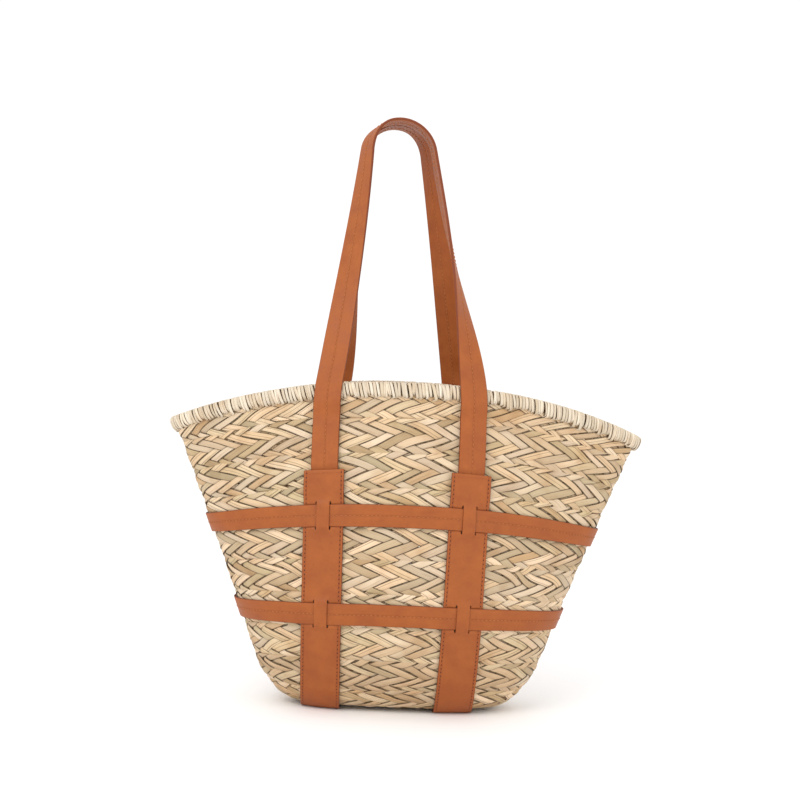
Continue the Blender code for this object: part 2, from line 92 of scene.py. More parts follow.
# ==== Small tools =========================================================================================
def srgb(code: str) -> tuple[float, float, float, float]:
    """Turns a hex sRGB colour to linear.

    Args:
        code: Six hex digits.

    Returns:
        Linear red, green and blue, and an alpha of 1.
    """
    parts = [int(code[at:at + 2], 16) / 255.0 for at in (0, 2, 4)]
    linear = [part / 12.92 if part <= 0.04045 else ((part + 0.055) / 1.055) ** 2.4 for part in parts]
    return (*linear, 1.0)


def ease(value: Array | float) -> Array | float:
    """Goes smoothly from 0 to 1 as the value does, and stays there."""
    value = np.clip(value, 0.0, 1.0)
    return value * value * (3.0 - 2.0 * value)


def soft_noise(rng: np.random.Generator, period: float, waves: int,
               lowest: int = 1) -> Callable[[Array], Array]:
    """A smooth random curve that closes on itself.

    Args:
        rng: Seeded source of randomness.
        period: Length after which the curve repeats.
        waves: How many sines it is made of.
        lowest: Number of cycles of the slowest sine.

    Returns:
        A function from place to a value of about -1 to 1.
    """
    cycles = lowest + np.arange(waves)
    phases = rng.uniform(0.0, 2.0 * math.pi, waves)
    weights = rng.uniform(0.5, 1.0, waves)
    weights /= weights.sum() ** 0.5 * 1.3

    def curve(place: Array) -> Array:
        turn = 2.0 * math.pi * np.asarray(place)[..., None] / period
        return (np.sin(turn * cycles + phases) * weights).sum(-1)

    return curve


def curve_between(start: float, end: float, start_slope: float, end_slope: float, share: Array) -> Array:
    """Values between two others, which leave the first and reach the second at the given slopes.

    Args:
        start, end: The two values.
        start_slope, end_slope: Slopes there, over the whole share.
        share: Places between them, 0 to 1.

    Returns:
        A value for each place.
    """
    cubic, square = share ** 3, share ** 2
    return ((2 * cubic - 3 * square + 1) * start + (cubic - 2 * square + share) * start_slope
            + (3 * square - 2 * cubic) * end + (cubic - square) * end_slope)


def unit(vectors: Array) -> Array:
    """Vectors brought to length 1."""
    return vectors / np.linalg.norm(vectors, axis=-1, keepdims=True)


def agreeing(wanted: Array, got: Array) -> float:
    """1 where two directions agree, -1 where they are opposed."""
    return 1.0 if float(np.dot(wanted, got)) >= 0 else -1.0


def distances(points: Array) -> Array:
    """Distance walked along a line of points up to each of them."""
    return np.concatenate([[0.0], np.cumsum(np.linalg.norm(np.diff(points, axis=0), axis=1))])


def to_piece(bm: bmesh.types.BMesh, name: str, finish: bpy.types.Material,
             crease: float = 50.0) -> bpy.types.Object:
    """Turns a bmesh into a smooth-shaded object at the origin.

    Args:
        bm: The shape, in place. It is freed.
        name: Name of the piece.
        finish: Its material.
        crease: Edges sharper than this many degrees stay sharp.

    Returns:
        The object, linked to the scene.
    """
    mesh = bpy.data.meshes.new(name)
    bm.to_mesh(mesh)
    bm.free()
    mesh.shade_smooth()
    mesh.set_sharp_from_angle(angle=math.radians(crease))
    mesh.materials.append(finish)
    made = bpy.data.objects.new(name, mesh)
    bpy.context.scene.collection.objects.link(made)
    return made


@dataclass
class Sweep:
    """A grid wrapped into a sheet, a tube or a closed loop of tube.

    The grid has its rows along the piece and its columns round the section. Columns that close on themselves
    make a tube, and rows that close on themselves make a loop.
    """

    rows: int
    columns: int
    tube: bool = True
    loop: bool = False

    def build(self, place: Placement, uv: Callable[[Array, Array], Array],
              tags: dict[str, Callable[[Array], Array]] | None = None,
              holes: Callable[[Array, Array], Array] | None = None) -> bmesh.types.BMesh:
        """Makes the shape.

        Args:
            place: From row and column numbers to points.
            uv: From row and column numbers to the two surface coordinates.
            tags: Name of each face attribute, and its value from the faces' row numbers.
            holes: From the faces' lowest row and column numbers to whether each is left out.

        Returns:
            The shape, welded where it closes, with a UV map.
        """
        last_row = self.rows if self.loop else self.rows - 1
        last_column = self.columns if self.tube else self.columns - 1
        start = bmesh.new()
        bmesh.ops.create_grid(start, x_segments=last_row, y_segments=last_column, size=1.0)
        mesh = bpy.data.meshes.new("sweep")
        start.to_mesh(mesh)
        start.free()

        flat = np.zeros(len(mesh.vertices) * 3)
        mesh.vertices.foreach_get("co", flat)
        flat = flat.reshape(-1, 3)
        row = np.rint((flat[:, 0] + 1.0) / 2.0 * last_row).astype(int)
        column = np.rint((flat[:, 1] + 1.0) / 2.0 * last_column).astype(int)
        points = place(row % self.rows, column % self.columns)
        mesh.vertices.foreach_set("co", points.astype(np.float32).ravel())

        corner = np.zeros(len(mesh.loops), int)
        mesh.loops.foreach_get("vertex_index", corner)
        layer = mesh.uv_layers.new(name="along_across")
        layer.data.foreach_set("uv", uv(row[corner], column[corner]).astype(np.float32).ravel())
        face_row = row[corner].reshape(-1, 4).min(1)
        for name, value in (tags or {}).items():
            attribute = mesh.attributes.new(name, "FLOAT", "FACE")
            attribute.data.foreach_set("value", value(face_row).astype(np.float32))

        bm = bmesh.new()
        bm.from_mesh(mesh)
        bpy.data.meshes.remove(mesh)
        if holes:
            bm.faces.ensure_lookup_table()
            gone = np.flatnonzero(holes(face_row, column[corner].reshape(-1, 4).min(1)))
            bmesh.ops.delete(bm, geom=[bm.faces[index] for index in gone], context="FACES")
        if self.tube or self.loop:
            bmesh.ops.remove_doubles(bm, verts=bm.verts, dist=1e-6)
        if self.tube and not self.loop:
            ends = [edge for edge in bm.edges if edge.is_boundary]
            bmesh.ops.holes_fill(bm, edges=ends, sides=0)
        if self.tube:
            bmesh.ops.recalc_face_normals(bm, faces=bm.faces)
        return bm


# ==== The basket's surface ================================================================================
@dataclass
class Wall:
    """The outer surface that the basket and harness are laid on: a flared oval that droops at its ends."""

    height: float = 0.300
    rim_width: float = 0.440
    rim_depth: float = 0.130
    belly_depth: float = 0.160
    belly_height: float = 0.155
    foot_width: float = 0.2384
    foot_depth: float = 0.126
    side_round: tuple[float, float] = (0.0277, 0.045)
    front_round: tuple[float, float] = (0.034, 0.110)
    base_fullness: float = 1.25
    rim_fullness: float = 0.70
    side_drop: float = 0.041
    drop_rise_power: float = 1.6
    drop_spread_power: float = 2.2
    base_lift: float = 0.0023
    lengths: Array = field(init=False)
    heights: Array = field(init=False)
    length: float = field(init=False)

    def __post_init__(self) -> None:
        """Measures the length up the middle of the front."""
        self.heights = self.height * np.linspace(0.0, 1.0, 3000) ** 2
        depths = self.half_depth(self.heights)
        steps = np.hypot(np.diff(self.heights), np.diff(depths))
        self.lengths = np.concatenate([[0.0], np.cumsum(steps)])
        self.length = float(self.lengths[-1])

    def inset(self, height: Array, inwards: float, rise: float) -> Array:
        """How far the rounded lower edge stands in at a height."""
        left = 1.0 - np.minimum(height / rise, 1.0)
        return inwards * (1.0 - np.sqrt(np.maximum(0.0, 1.0 - left * left)))

    def half_width(self, height: Array) -> Array:
        """Half of the width at a height above the base."""
        straight = self.foot_width / 2 + (self.rim_width - self.foot_width) / 2 * height / self.height
        return straight - self.inset(height, *self.side_round)

    def half_depth(self, height: Array) -> Array:
        """Half of the depth at a height above the base.

        Args:
            height: Heights above the base.

        Returns:
            Half of the depth at each.
        """
        height = np.asarray(height, float)
        above = height > self.belly_height
        end = np.where(above, self.rim_depth, self.foot_depth)
        reach = np.where(above, (height - self.belly_height) / (self.height - self.belly_height),
                         (self.belly_height - height) / self.belly_height)
        straight = self.belly_depth / 2 - (self.belly_depth - end) / 2 * reach ** 2
        return straight - self.inset(height, *self.front_round)

    def height_at(self, length: Array) -> Array:
        """Height above the base after a length of wall."""
        return np.interp(length, self.lengths, self.heights)

    def length_at(self, height: float) -> float:
        """Length of wall up to a height above the base."""
        return float(np.interp(height, self.heights, self.lengths))

    def point(self, angle: Array, length: Array) -> Array:
        """Points of the wall.

        Args:
            angle: -90 degrees at the middle of the front, 0 at +X.
            length: Length up the wall from the base's edge.

        Returns:
            Points, one for each pair.
        """
        height = self.height_at(length)
        level = height / self.height
        fullness = self.base_fullness + (self.rim_fullness - self.base_fullness) * level
        side, front = np.cos(angle), np.sin(angle)
        drop = self.side_drop * level ** self.drop_rise_power * np.abs(side) ** self.drop_spread_power
        return np.stack([self.half_width(height) * side,
                         self.half_depth(height) * front * (fullness + (1.0 - fullness) * front * front),
                         height - drop + self.base_lift], -1)

    def frame(self, angle: Array, length: Array) -> tuple[Array, Array, Array]:
        """Points of the wall, their outward normals and the directions up the wall.

        Args:
            angle: -90 degrees at the middle of the front.
            length: Length up the wall.

        Returns:
            Points, normals and directions, one of each for each pair.
        """
        angle, length = np.broadcast_arrays(np.asarray(angle, float), np.asarray(length, float))
        low, high = np.maximum(0.0, length - LENGTH_STEP), np.minimum(self.length, length + LENGTH_STEP)
        up = unit(self.point(angle, high) - self.point(angle, low))
        return self.point(angle, length), unit(np.cross(self.around(angle, length), up)), up

    def around(self, angle: Array, length: Array) -> Array:
        """Directions round the wall."""
        return unit(self.point(angle + ANGLE_STEP, length) - self.point(angle - ANGLE_STEP, length))

    def off(self, angle: Array, length: Array, offset: Array) -> Array:
        """Points at a distance outside the wall."""
        point, normal, _ = self.frame(angle, length)
        return point + normal * np.asarray(offset)[..., None]

    def angle_at(self, x: Array, length: Array, side: int) -> Array:
        """The angle at which the wall has this x, at the front for side -1 and at the back for 1."""
        return side * np.arccos(np.clip(x / self.half_width(self.height_at(length)), -1.0, 1.0))


WALL = Wall()


# ==== Finishes ============================================================================================
SMOOTH = {"interpolation_type": "SMOOTHSTEP"}                           # a range eased at both of its ends
COVER = {"out": 2, "data_type": "RGBA", "blend_type": "MIX"}            # one colour laid over another
DARKEN = {"out": 2, "data_type": "RGBA", "blend_type": "MULTIPLY"}      # one colour stained with another
AMOUNT, UNDER, OVER = 0, 6, 7                                           # inputs of a node that mixes colours


class Nodes:
    """A material's node tree while it is being laid out."""

    def __init__(self, name: str) -> None:
        """Starts a material with a Principled shader.

        Args:
            name: Name of the material.
        """
        self.material = bpy.data.materials.new(name)
        self.material.use_nodes = True
        self.tree = self.material.node_tree
        self.shader = self.tree.nodes["Principled BSDF"]

    def add(self, kind: str, links: dict | Sequence = (), out: str | int = 0,
            stops: Sequence[tuple[float, tuple]] = (), **settings) -> bpy.types.NodeSocket:
        """Adds a node with its settings and links.

        Args:
            kind: The node's type, without the ShaderNode in front.
            links: The socket or value that goes into each input, in order, or by name or number.
            out: The output wanted, by name or number.
            stops: Places from 0 to 1 and their colours, for a colour ramp.
            **settings: Properties of the node.

        Returns:
            The wanted output.
        """
        node = self.tree.nodes.new("ShaderNode" + kind)
        for key, value in settings.items():
            setattr(node, key, value)
        for key, value in links.items() if isinstance(links, dict) else enumerate(links):
            if isinstance(value, bpy.types.NodeSocket):
                self.tree.links.new(value, node.inputs[key])
            else:
                node.inputs[key].default_value = value
        if stops:
            elements = node.color_ramp.elements
            while len(elements) < len(stops):
                elements.new(0.5)
            for element, (place, shade) in zip(elements, stops):
                element.position = place
                element.color = shade
        return node.outputs[out]

    def surface(self) -> tuple[bpy.types.NodeSocket, bpy.types.NodeSocket]:
        """Distances along and across the piece, in metres, from its UV map.

        Returns:
            The two outputs.
        """
        place = self.add("UVMap", uv_map="along_across")
        parts = self.add("SeparateXYZ", (place,)).node
        return parts.outputs[0], parts.outputs[1]

    def finish(self, colour: bpy.types.NodeSocket, roughness: float | bpy.types.NodeSocket,
               height: bpy.types.NodeSocket, relief: float, **uniform: float) -> bpy.types.Material:
        """Joins everything to the shader.

        Args:
            colour: Base colour.
            roughness: Roughness, even or drawn.
            height: Relief of the surface, 0 to 1.
            relief: Depth of that relief in metres.
            **uniform: Values of the shader's other sockets, with underscores for spaces.

        Returns:
            The finished material.
        """
        self.tree.links.new(colour, self.shader.inputs["Base Color"])
        if isinstance(roughness, bpy.types.NodeSocket):
            self.tree.links.new(roughness, self.shader.inputs["Roughness"])
        else:
            self.shader.inputs["Roughness"].default_value = roughness
        bump = self.add("Bump", {"Height": height, "Strength": 1.0, "Distance": relief})
        self.tree.links.new(bump, self.shader.inputs["Normal"])
        for key, value in uniform.items():
            self.shader.inputs[key.replace("_", " ")].default_value = value
        return self.material


@dataclass(frozen=True)
class PalmLeaf:
    """Dried dwarf-palm leaf, split into strips and plaited damp.

    It dries matt to satin with fine lengthwise fibres, and every strip has its own tone, from cream through
    straw to grey-green and ochre. A few strips are folded, which shows as a crease along them, with painted
    shade along the crease. The strips' edges are darkened with painted shade, for the gaps between strands.
    """

    name: str = "palm_leaf_dried"
    tones: tuple[str, ...] = ("E9CEAE", "DDC09B", "D8B892", "CFB58E", "EBD3B4", "CBA67A", "C6B28C", "E3C8A4")
    fibre_colour: str = "8E6A3E"
    blotch_colour: str = "C9A877"
    # painted shade: the colour that darkens the strips' edges and their creases
    edge_colour: str = "3E280F"
    fibre_width: float = 0.0006     # real fibres are half as wide and would not show
    fibre_length: float = 0.030
    fibre_spacing: float = 40.0     # keeps the fibres of neighbouring leaves from matching
    fibre_range: tuple[float, float] = (0.30, 0.70)
    streaks: tuple[float, float] = (0.50, 0.75)
    streak_strength: float = 0.42
    blotch_size: float = 0.022
    blotches: tuple[float, float] = (0.45, 0.75)
    blotch_strength: float = 0.35
    edge: tuple[float, float] = (0.76, 0.97)        # where painted shade darkens the edge, as a share of the half width
    edge_strength: float = 0.95
    creased: float = 0.60           # share of the strips without a crease
    crease_wander: float = 0.0030   # how far apart creases lie on different leaves
    crease_width: float = 0.00035
    crease_shade_strength: float = 0.55
    crease_depth: float = 0.8
    relief: float = 0.00025
    roughness: tuple[float, float] = (0.50, 0.72)
    half_width: float = LEAF_HALF_WIDTH
    brightness: tuple[float, float] = (0.68, 1.04)
    specular: float = 0.35
    ior: float = 1.47

    def make(self) -> bpy.types.Material:
        """Lays out the material.

        Returns:
            The finished material.
        """
        nodes = Nodes(self.name)
        leaf = nodes.add("Attribute", out="Fac", attribute_name="leaf")
        light = nodes.add("Attribute", out="Fac", attribute_name="light")
        along, across = nodes.surface()
        last = len(self.tones) - 1
        colour = nodes.add("ValToRGB", (leaf,),
                           stops=[(index / last, srgb(tone)) for index, tone in enumerate(self.tones)])

        stretched = nodes.add("CombineXYZ", (
            nodes.add("Math", (along, self.fibre_length), operation="DIVIDE"),
            nodes.add("Math", (across, self.fibre_width), operation="DIVIDE"),
            nodes.add("Math", (leaf, self.fibre_spacing), operation="MULTIPLY")))
        fibres = nodes.add("TexNoise", {"Vector": stretched, "Scale": 1.0, "Detail": 3.0, "Roughness": 0.6})
        streaks = nodes.add("MapRange", (fibres, *self.streaks, 0.0, self.streak_strength), **SMOOTH)
        colour = nodes.add("Mix", {AMOUNT: streaks, UNDER: colour, OVER: srgb(self.fibre_colour)}, **COVER)

        spot = nodes.add("TexCoord", out="Object")
        cloud = nodes.add("TexNoise", {"Vector": spot, "Scale": 1.0 / self.blotch_size, "Detail": 2.0})
        blotches = nodes.add("MapRange", (cloud, *self.blotches, 0.0, self.blotch_strength), **SMOOTH)
        colour = nodes.add("Mix", {AMOUNT: blotches, UNDER: colour, OVER: srgb(self.blotch_colour)}, **DARKEN)

        # painted shade: each strip darkens towards its edges, for the shade in the gaps between strands
        aside = nodes.add("Math", (across,), operation="ABSOLUTE")
        reach = nodes.add("Math", (aside, self.half_width), operation="DIVIDE")
        edge = nodes.add("MapRange", (reach, *self.edge, 0.0, self.edge_strength), **SMOOTH)
        colour = nodes.add("Mix", {AMOUNT: edge, UNDER: colour, OVER: srgb(self.edge_colour)}, **COVER)

        # a crease on some strips: a dip in the relief, with painted shade along it
        folded = nodes.add("Math", (light, self.creased), operation="GREATER_THAN")
        from_mean = nodes.add("Math", (leaf, 0.5), operation="SUBTRACT")
        wander = nodes.add("Math", (from_mean, self.crease_wander), operation="MULTIPLY")
        centre = nodes.add("Math", (across, wander), operation="SUBTRACT")
        off_crease = nodes.add("Math", (centre,), operation="ABSOLUTE")
        line = nodes.add("MapRange", (off_crease, 0.0, self.crease_width, 1.0, 0.0), **SMOOTH)
        crease = nodes.add("Math", (line, folded), operation="MULTIPLY")
        shade = nodes.add("Math", (crease, self.crease_shade_strength), operation="MULTIPLY")
        colour = nodes.add("Mix", {AMOUNT: shade, UNDER: colour, OVER: srgb(self.edge_colour)}, **COVER)

        brightness = nodes.add("MapRange", (light, 0.0, 1.0, *self.brightness), **SMOOTH)
        colour = nodes.add("HueSaturation", {"Value": brightness, "Color": colour})
        sunk = nodes.add("Math", (crease, self.crease_depth), operation="MULTIPLY")
        height = nodes.add("Math", (fibres, sunk), operation="SUBTRACT")
        rough = nodes.add("MapRange", (fibres, *self.fibre_range, *self.roughness), **SMOOTH)
        return nodes.finish(colour, rough, height, self.relief,
                            Specular_IOR_Level=self.specular, IOR=self.ior)


@dataclass(frozen=True)
class Leather:
    """Bonded cowhide, dyed tan, plated smooth, with painted edges.

    The plating gives a satin face with a very fine grain, a little mottled where the dye took unevenly.
    Painted shade darkens the stitch holes and the sunk line of stitching.
    """

    name: str = "cowhide_tan"
    colour: str = "9C5220"
    pale: str = "A25825"
    deep: str = "954C1D"
    cloud_colour: str = "C98F68"
    edge_colour: str = "6A2D14"
    hole_shade_colour: str = "4A160A"
    groove_shade_colour: str = "B98A70"
    half_width: float = 0.01775
    edge_fade: tuple[float, float] = (0.0007, 0.0001)       # in from the edge, where its paint fades in
    edge_strength: float = 0.85
    grain: float = 0.0009           # the real grain is about 0.3 mm and would not show
    grain_height: float = 0.5
    mottle: float = 0.016
    mottle_range: tuple[float, float] = (0.30, 0.70)
    dye_places: tuple[float, float, float] = (0.30, 0.50, 0.72)
    cloud_size: float = 2.5         # in grains
    clouds: tuple[float, float] = (0.45, 0.70)
    cloud_strength: float = 0.10
    relief: float = 0.00007
    roughness: tuple[float, float] = (0.46, 0.60)
    groove: float = 0.0             # distance of the sewn line from the middle
    groove_width: float = 0.0009
    groove_shade: float = 0.35
    groove_depth: float = 3.0
    hole_pitch: float = STITCH_PITCH
    hole_length: tuple[float, float] = (0.0003, 0.0009)
    hole_width: tuple[float, float] = (0.0003, 0.0007)
    hole_shade_strength: float = 0.9
    specular: float = 0.32
    ior: float = 1.5

    def make(self) -> bpy.types.Material:
        """Lays out the material.

        Returns:
            The finished material.
        """
        nodes = Nodes(self.name)
        along, across = nodes.surface()
        spot = nodes.add("TexCoord", out="Object")
        mottle = nodes.add("TexNoise", {"Vector": spot, "Scale": 1.0 / self.mottle, "Detail": 3.0,
                                        "Roughness": 0.55})
        dyes = [srgb(dye) for dye in (self.deep, self.colour, self.pale)]
        colour = nodes.add("ValToRGB", (mottle,), stops=list(zip(self.dye_places, dyes)))
        grain = nodes.add("TexVoronoi", {"Vector": spot, "Scale": 1.0 / self.grain, "Randomness": 1.0},
                          out="Distance")
        fine = nodes.add("TexNoise", {"Vector": spot, "Scale": 1.0 / (self.grain * self.cloud_size),
                                      "Detail": 4.0})
        clouds = nodes.add("MapRange", (fine, *self.clouds, 0.0, self.cloud_strength), **SMOOTH)
        colour = nodes.add("Mix", {AMOUNT: clouds, UNDER: colour, OVER: srgb(self.cloud_colour)}, **DARKEN)

        reach = nodes.add("Math", (across,), operation="ABSOLUTE")
        paint_start, paint_full = (self.half_width - inset for inset in self.edge_fade)
        edge = nodes.add("MapRange", (reach, paint_start, paint_full, 0.0, self.edge_strength), **SMOOTH)
        colour = nodes.add("Mix", {AMOUNT: edge, UNDER: colour, OVER: srgb(self.edge_colour)}, **COVER)

        aside = nodes.add("Math", (reach, self.groove), operation="SUBTRACT")
        from_line = nodes.add("Math", (aside,), operation="ABSOLUTE")
        sunk = nodes.add("MapRange", (from_line, 0.0, self.groove_width, 1.0, 0.0), **SMOOTH)
        # painted shade: dark dots for the stitch holes along the sewn line
        step = nodes.add("Math", (along, self.hole_pitch / 2), operation="PINGPONG")
        hole_along = nodes.add("MapRange", (step, *self.hole_length, 1.0, 0.0), **SMOOTH)
        hole_across = nodes.add("MapRange", (from_line, *self.hole_width, self.hole_shade_strength, 0.0), **SMOOTH)
        hole_shade = nodes.add("Math", (hole_along, hole_across), operation="MULTIPLY")
        colour = nodes.add("Mix", {AMOUNT: hole_shade, UNDER: colour, OVER: srgb(self.hole_shade_colour)}, **COVER)
        # painted shade along the sunk line of stitching
        shade = nodes.add("Math", (sunk, self.hole_shade_strength * self.groove_shade), operation="MULTIPLY")
        colour = nodes.add("Mix", {AMOUNT: shade, UNDER: colour, OVER: srgb(self.groove_shade_colour)}, **DARKEN)

        raised = nodes.add("Math", (grain, self.grain_height), operation="MULTIPLY")
        deep = nodes.add("Math", (sunk, self.groove_depth), operation="MULTIPLY")
        height = nodes.add("Math", (raised, deep), operation="SUBTRACT")
        rough = nodes.add("MapRange", (mottle, *self.mottle_range, *self.roughness), **SMOOTH)
        return nodes.finish(colour, rough, height, self.relief,
                            Specular_IOR_Level=self.specular, IOR=self.ior)


@dataclass(frozen=True)
class Thread:
    """Bonded polyester sewing thread, twisted and waxed: a soft sheen, with the twist just showing."""

    name: str = "polyester_thread"
    colour: str = "B4683C"
    shade: str = "A06A48"
    shade_strength: float = 0.3
    twist: float = 0.0009
    roughness: float = 0.7
    relief: float = 0.0001
    specular: float = 0.25

    def make(self) -> bpy.types.Material:
        """Lays out the material.

        Returns:
            The finished material.
        """
        nodes = Nodes(self.name)
        spot = nodes.add("TexCoord", out="Object")
        strands = nodes.add("TexWave", {"Vector": spot, "Scale": 0.5 / self.twist, "Distortion": 2.0},
                            wave_type="BANDS", bands_direction="DIAGONAL")
        amount = nodes.add("Math", (strands, self.shade_strength), operation="MULTIPLY")
        shades = {AMOUNT: amount, UNDER: srgb(self.colour), OVER: srgb(self.shade)}
        colour = nodes.add("Mix", shades, **DARKEN)
        return nodes.finish(colour, self.roughness, strands, self.relief, Specular_IOR_Level=self.specular)


@dataclass(frozen=True)
class Rope:
    """Palm-fibre rope, laid by hand: coarse brown strands, matt, with loose fibres."""

    name: str = "palm_fibre_rope"
    colour: str = "9C7B52"
    dark: str = "5E4326"
    lay: float = 0.006
    roughness: float = 0.85
    relief: float = 0.0006

    def make(self) -> bpy.types.Material:
        """Lays out the material.

        Returns:
            The finished material.
        """
        nodes = Nodes(self.name)
        spot = nodes.add("TexCoord", out="Object")
        strands = nodes.add("TexWave", {"Vector": spot, "Scale": 0.5 / self.lay, "Distortion": 3.0,
                                        "Detail": 3.0}, wave_type="BANDS", bands_direction="DIAGONAL")
        colour = nodes.add("Mix", {AMOUNT: strands, UNDER: srgb(self.dark), OVER: srgb(self.colour)}, **COVER)
        return nodes.finish(colour, self.roughness, strands, self.relief)


@dataclass(frozen=True)
class PaleFloor:
    """Matt painted board, almost white, with a trace of unevenness in the paint."""

    name: str = "studio_board_matt_paint"
    colour: str = "FFFFFF"
    shade: str = "EDEBE8"
    shade_strength: float = 0.02
    paint_size: float = 1.0 / 60.0
    roughness: float = 0.8
    relief: float = 0.00005
    specular: float = 0.1

    def make(self) -> bpy.types.Material:
        """Lays out the material.

        Returns:
            The finished material.
        """
        nodes = Nodes(self.name)
        spot = nodes.add("TexCoord", out="Object")
        paint = nodes.add("TexNoise", {"Vector": spot, "Scale": 1.0 / self.paint_size, "Detail": 2.0})
        amount = nodes.add("Math", (paint, self.shade_strength), operation="MULTIPLY")
        shades = {AMOUNT: amount, UNDER: srgb(self.colour), OVER: srgb(self.shade)}
        colour = nodes.add("Mix", shades, **DARKEN)
        return nodes.finish(colour, self.roughness, paint, self.relief, Specular_IOR_Level=self.specular)


# ==== The basket ==========================================================================================
@dataclass
class Plait:
    """A closed round of nine-strand flat plait, made of one endless strand that winds nine times round.

    The strand runs down across the plait and folds, then up across it and folds. On each crossing it meets
    eight others: it goes under one, over three, under three and over one.
    """

    number: int
    surface: Callable[[Array, Array, Array], Array]     # from angle, share of the width and offset outwards
    girth: Array                                        # points at even angles along the middle
    width: float
    strand_pitch: float = 0.0166        # between neighbouring strands, along the plait
    strand_width: float = 0.98          # share of the room it has
    thickness: float = 0.0008
    crown: float = 0.00036
    lift: float = 0.00110               # of a strand above or below the plait's middle
    middle: float = -0.0023             # the plait's middle behind the wall's surface
    bulge: float = 0.0011
    warp: float = 0.0025                # how far the whole round strays along its length
    edge_warp: float = 0.7              # share of the straying that differs between the round's edges
    side_warp: float = 0.5              # share of it that goes across
    bulge_limit: float = 1.2
    strands: int = 9
    levels: tuple[float, ...] = (-0.9, -1.0, 0.85, 1.05, 0.85, -0.85, -1.05, -0.85, 1.0, 0.9)
    fold_level: float = 0.75
    fold_row: float = 0.22              # the row beside a fold, in crossings
    fold_face: tuple[float, float] = (0.87, 0.50)       # how that row faces, up and outwards
    fold_ease: float = 0.58             # crossings over which the strand's section turns square
    flat_row: float = 0.2               # a strand is flat this far to each side of a crossing
    width_spread: float = 0.10
    width_limits: tuple[float, float] = (0.80, 1.15)
    narrow_share: float = 0.14
    narrow_width: float = 0.82
    aside_spread: float = 0.045
    tilt_spread: float = 0.10
    height_spread: float = 0.00010
    crown_limits: tuple[float, float] = (-0.3, 1.6)
    edge_spread: float = 0.0010
    leaf_passes: tuple[int, int] = (4, 7)       # a leaf lasts for this many passes, less than the second
    seed: int = 4100                    # of the first round's unevenness
    leaf_light: float = 0.75            # share of a strand's brightness that comes from its leaf
    section: tuple[tuple[float, float, float], ...] = (
        (-1.0, 0.0, 0.0), (-0.80, 0.5, 0.35), (0.0, 0.5, 1.0), (0.80, 0.5, 0.35),
        (1.0, 0.0, 0.0), (0.80, -0.5, -0.35), (0.0, -0.5, -1.0), (-0.80, -0.5, -0.35))

    def crossings(self) -> tuple[Array, Array]:
        """Where the rows of one pass lie, in crossings from its fold, and how high each row is.

        Returns:
            The rows' places and their levels, of which 1 is the strand's full lift.
        """
        rows = [0.0, self.fold_row, 0.5]
        for crossing in range(1, self.strands):
            rows += [crossing - self.flat_row, crossing + self.flat_row, crossing + 0.5]
        rows.append(self.strands - self.fold_row)
        places, levels = np.array(rows), np.array(self.levels)
        below = places.astype(int)
        between = (levels[below] + levels[np.minimum(below + 1, self.strands)]) / 2
        heights = np.where(np.isclose(places % 1.0, 0.5), between, levels[np.rint(places - 1e-9).astype(int)])
        heights[[0, 1, -1]] = 0.0, -self.fold_level, self.fold_level
        return places, heights

    def build(self, name: str, finish: bpy.types.Material) -> bpy.types.Object:
        """Plaits the round.

        Args:
            name: Name of the piece.
            finish: Its material.

        Returns:
            The piece.
        """
        rng = np.random.default_rng(self.seed + self.number)
        closed = np.vstack([self.girth, self.girth[:1]])
        walked = distances(closed)
        angles = np.linspace(-math.pi, math.pi, len(walked))
        girth = float(walked[-1])
        count = round(girth / self.strand_pitch)
        count += 1 if count % 3 == 0 else 0
        pitch = girth / count
        slope = math.atan2(self.width, self.strands / 2 * pitch)
        room = pitch * math.sin(slope)

        places, heights = self.crossings()
        per_pass, passes = len(places), 2 * count
        index = np.arange(per_pass * passes)
        turn, row = index // per_pass, index % per_pass
        q = places[row]
        down = turn % 2 == 0
        share = q / self.strands
        u = self.strands / 2 * pitch * (turn + share)
        v = np.where(down, 0.5 - share, share - 0.5) * self.width
        z = heights[row] * self.lift

        def along(values: Array) -> Array:
            """A value for each pass, eased from one pass to the next."""
            return values[turn] + (values[(turn + 1) % passes] - values[turn]) * ease(share)

        wide = np.clip(rng.normal(1.0, self.width_spread, passes), *self.width_limits)
        wide = np.where(rng.random(passes) < self.narrow_share, wide * self.narrow_width, wide)
        half = along(wide) * room * self.strand_width / 2
        aside = along(rng.normal(0.0, self.aside_spread, passes)) * room
        tilt = along(rng.normal(0.0, self.tilt_spread, passes))
        z = z + along(rng.normal(0.0, self.height_spread, passes))
        crown = along(rng.uniform(*self.crown_limits, passes)) * self.crown
        edge_reach = rng.normal(0.0, self.edge_spread, passes)
        near_edge = np.where(q < 1.0, 1.0 - q, np.where(q > self.strands - 1, q - self.strands + 1, 0.0))
        v = v + np.where(v > 0, 1.0, -1.0) * near_edge * np.where(
            q < 1.0, edge_reach[turn], edge_reach[(turn + 1) % passes])

        to_edge = np.minimum(q, self.strands - q)
        skew = 1.0 / math.tan(2 * slope) + (1.0 / math.tan(slope) - 1.0 / math.tan(2 * slope)) * (
            1.0 - np.clip((to_edge - self.fold_row) / self.fold_ease, 0.0, 1.0))
        flip = np.where(down, 1.0, -1.0)
        run = np.stack([np.full(len(index), math.cos(slope)), -flip * math.sin(slope)], -1)
        normal = np.stack([np.full(len(index), math.sin(slope)), flip * math.cos(slope)], -1)
        across = normal + run * skew[:, None]
        at_fold, by_fold = to_edge < self.fold_row / 2, to_edge < self.fold_row * 1.5
        face_z = np.where(at_fold, 0.0, np.where(by_fold, self.fold_face[0], 1.0)) * flip
        face_v = -np.where(at_fold, 1.0, np.where(by_fold, self.fold_face[1], 0.0))

        bend_u = soft_noise(rng, girth, 14, 6)
        bend_v = soft_noise(rng, girth, 12, 5)
        drift = soft_noise(rng, girth, 8, 9)
        shape = np.array(self.section)

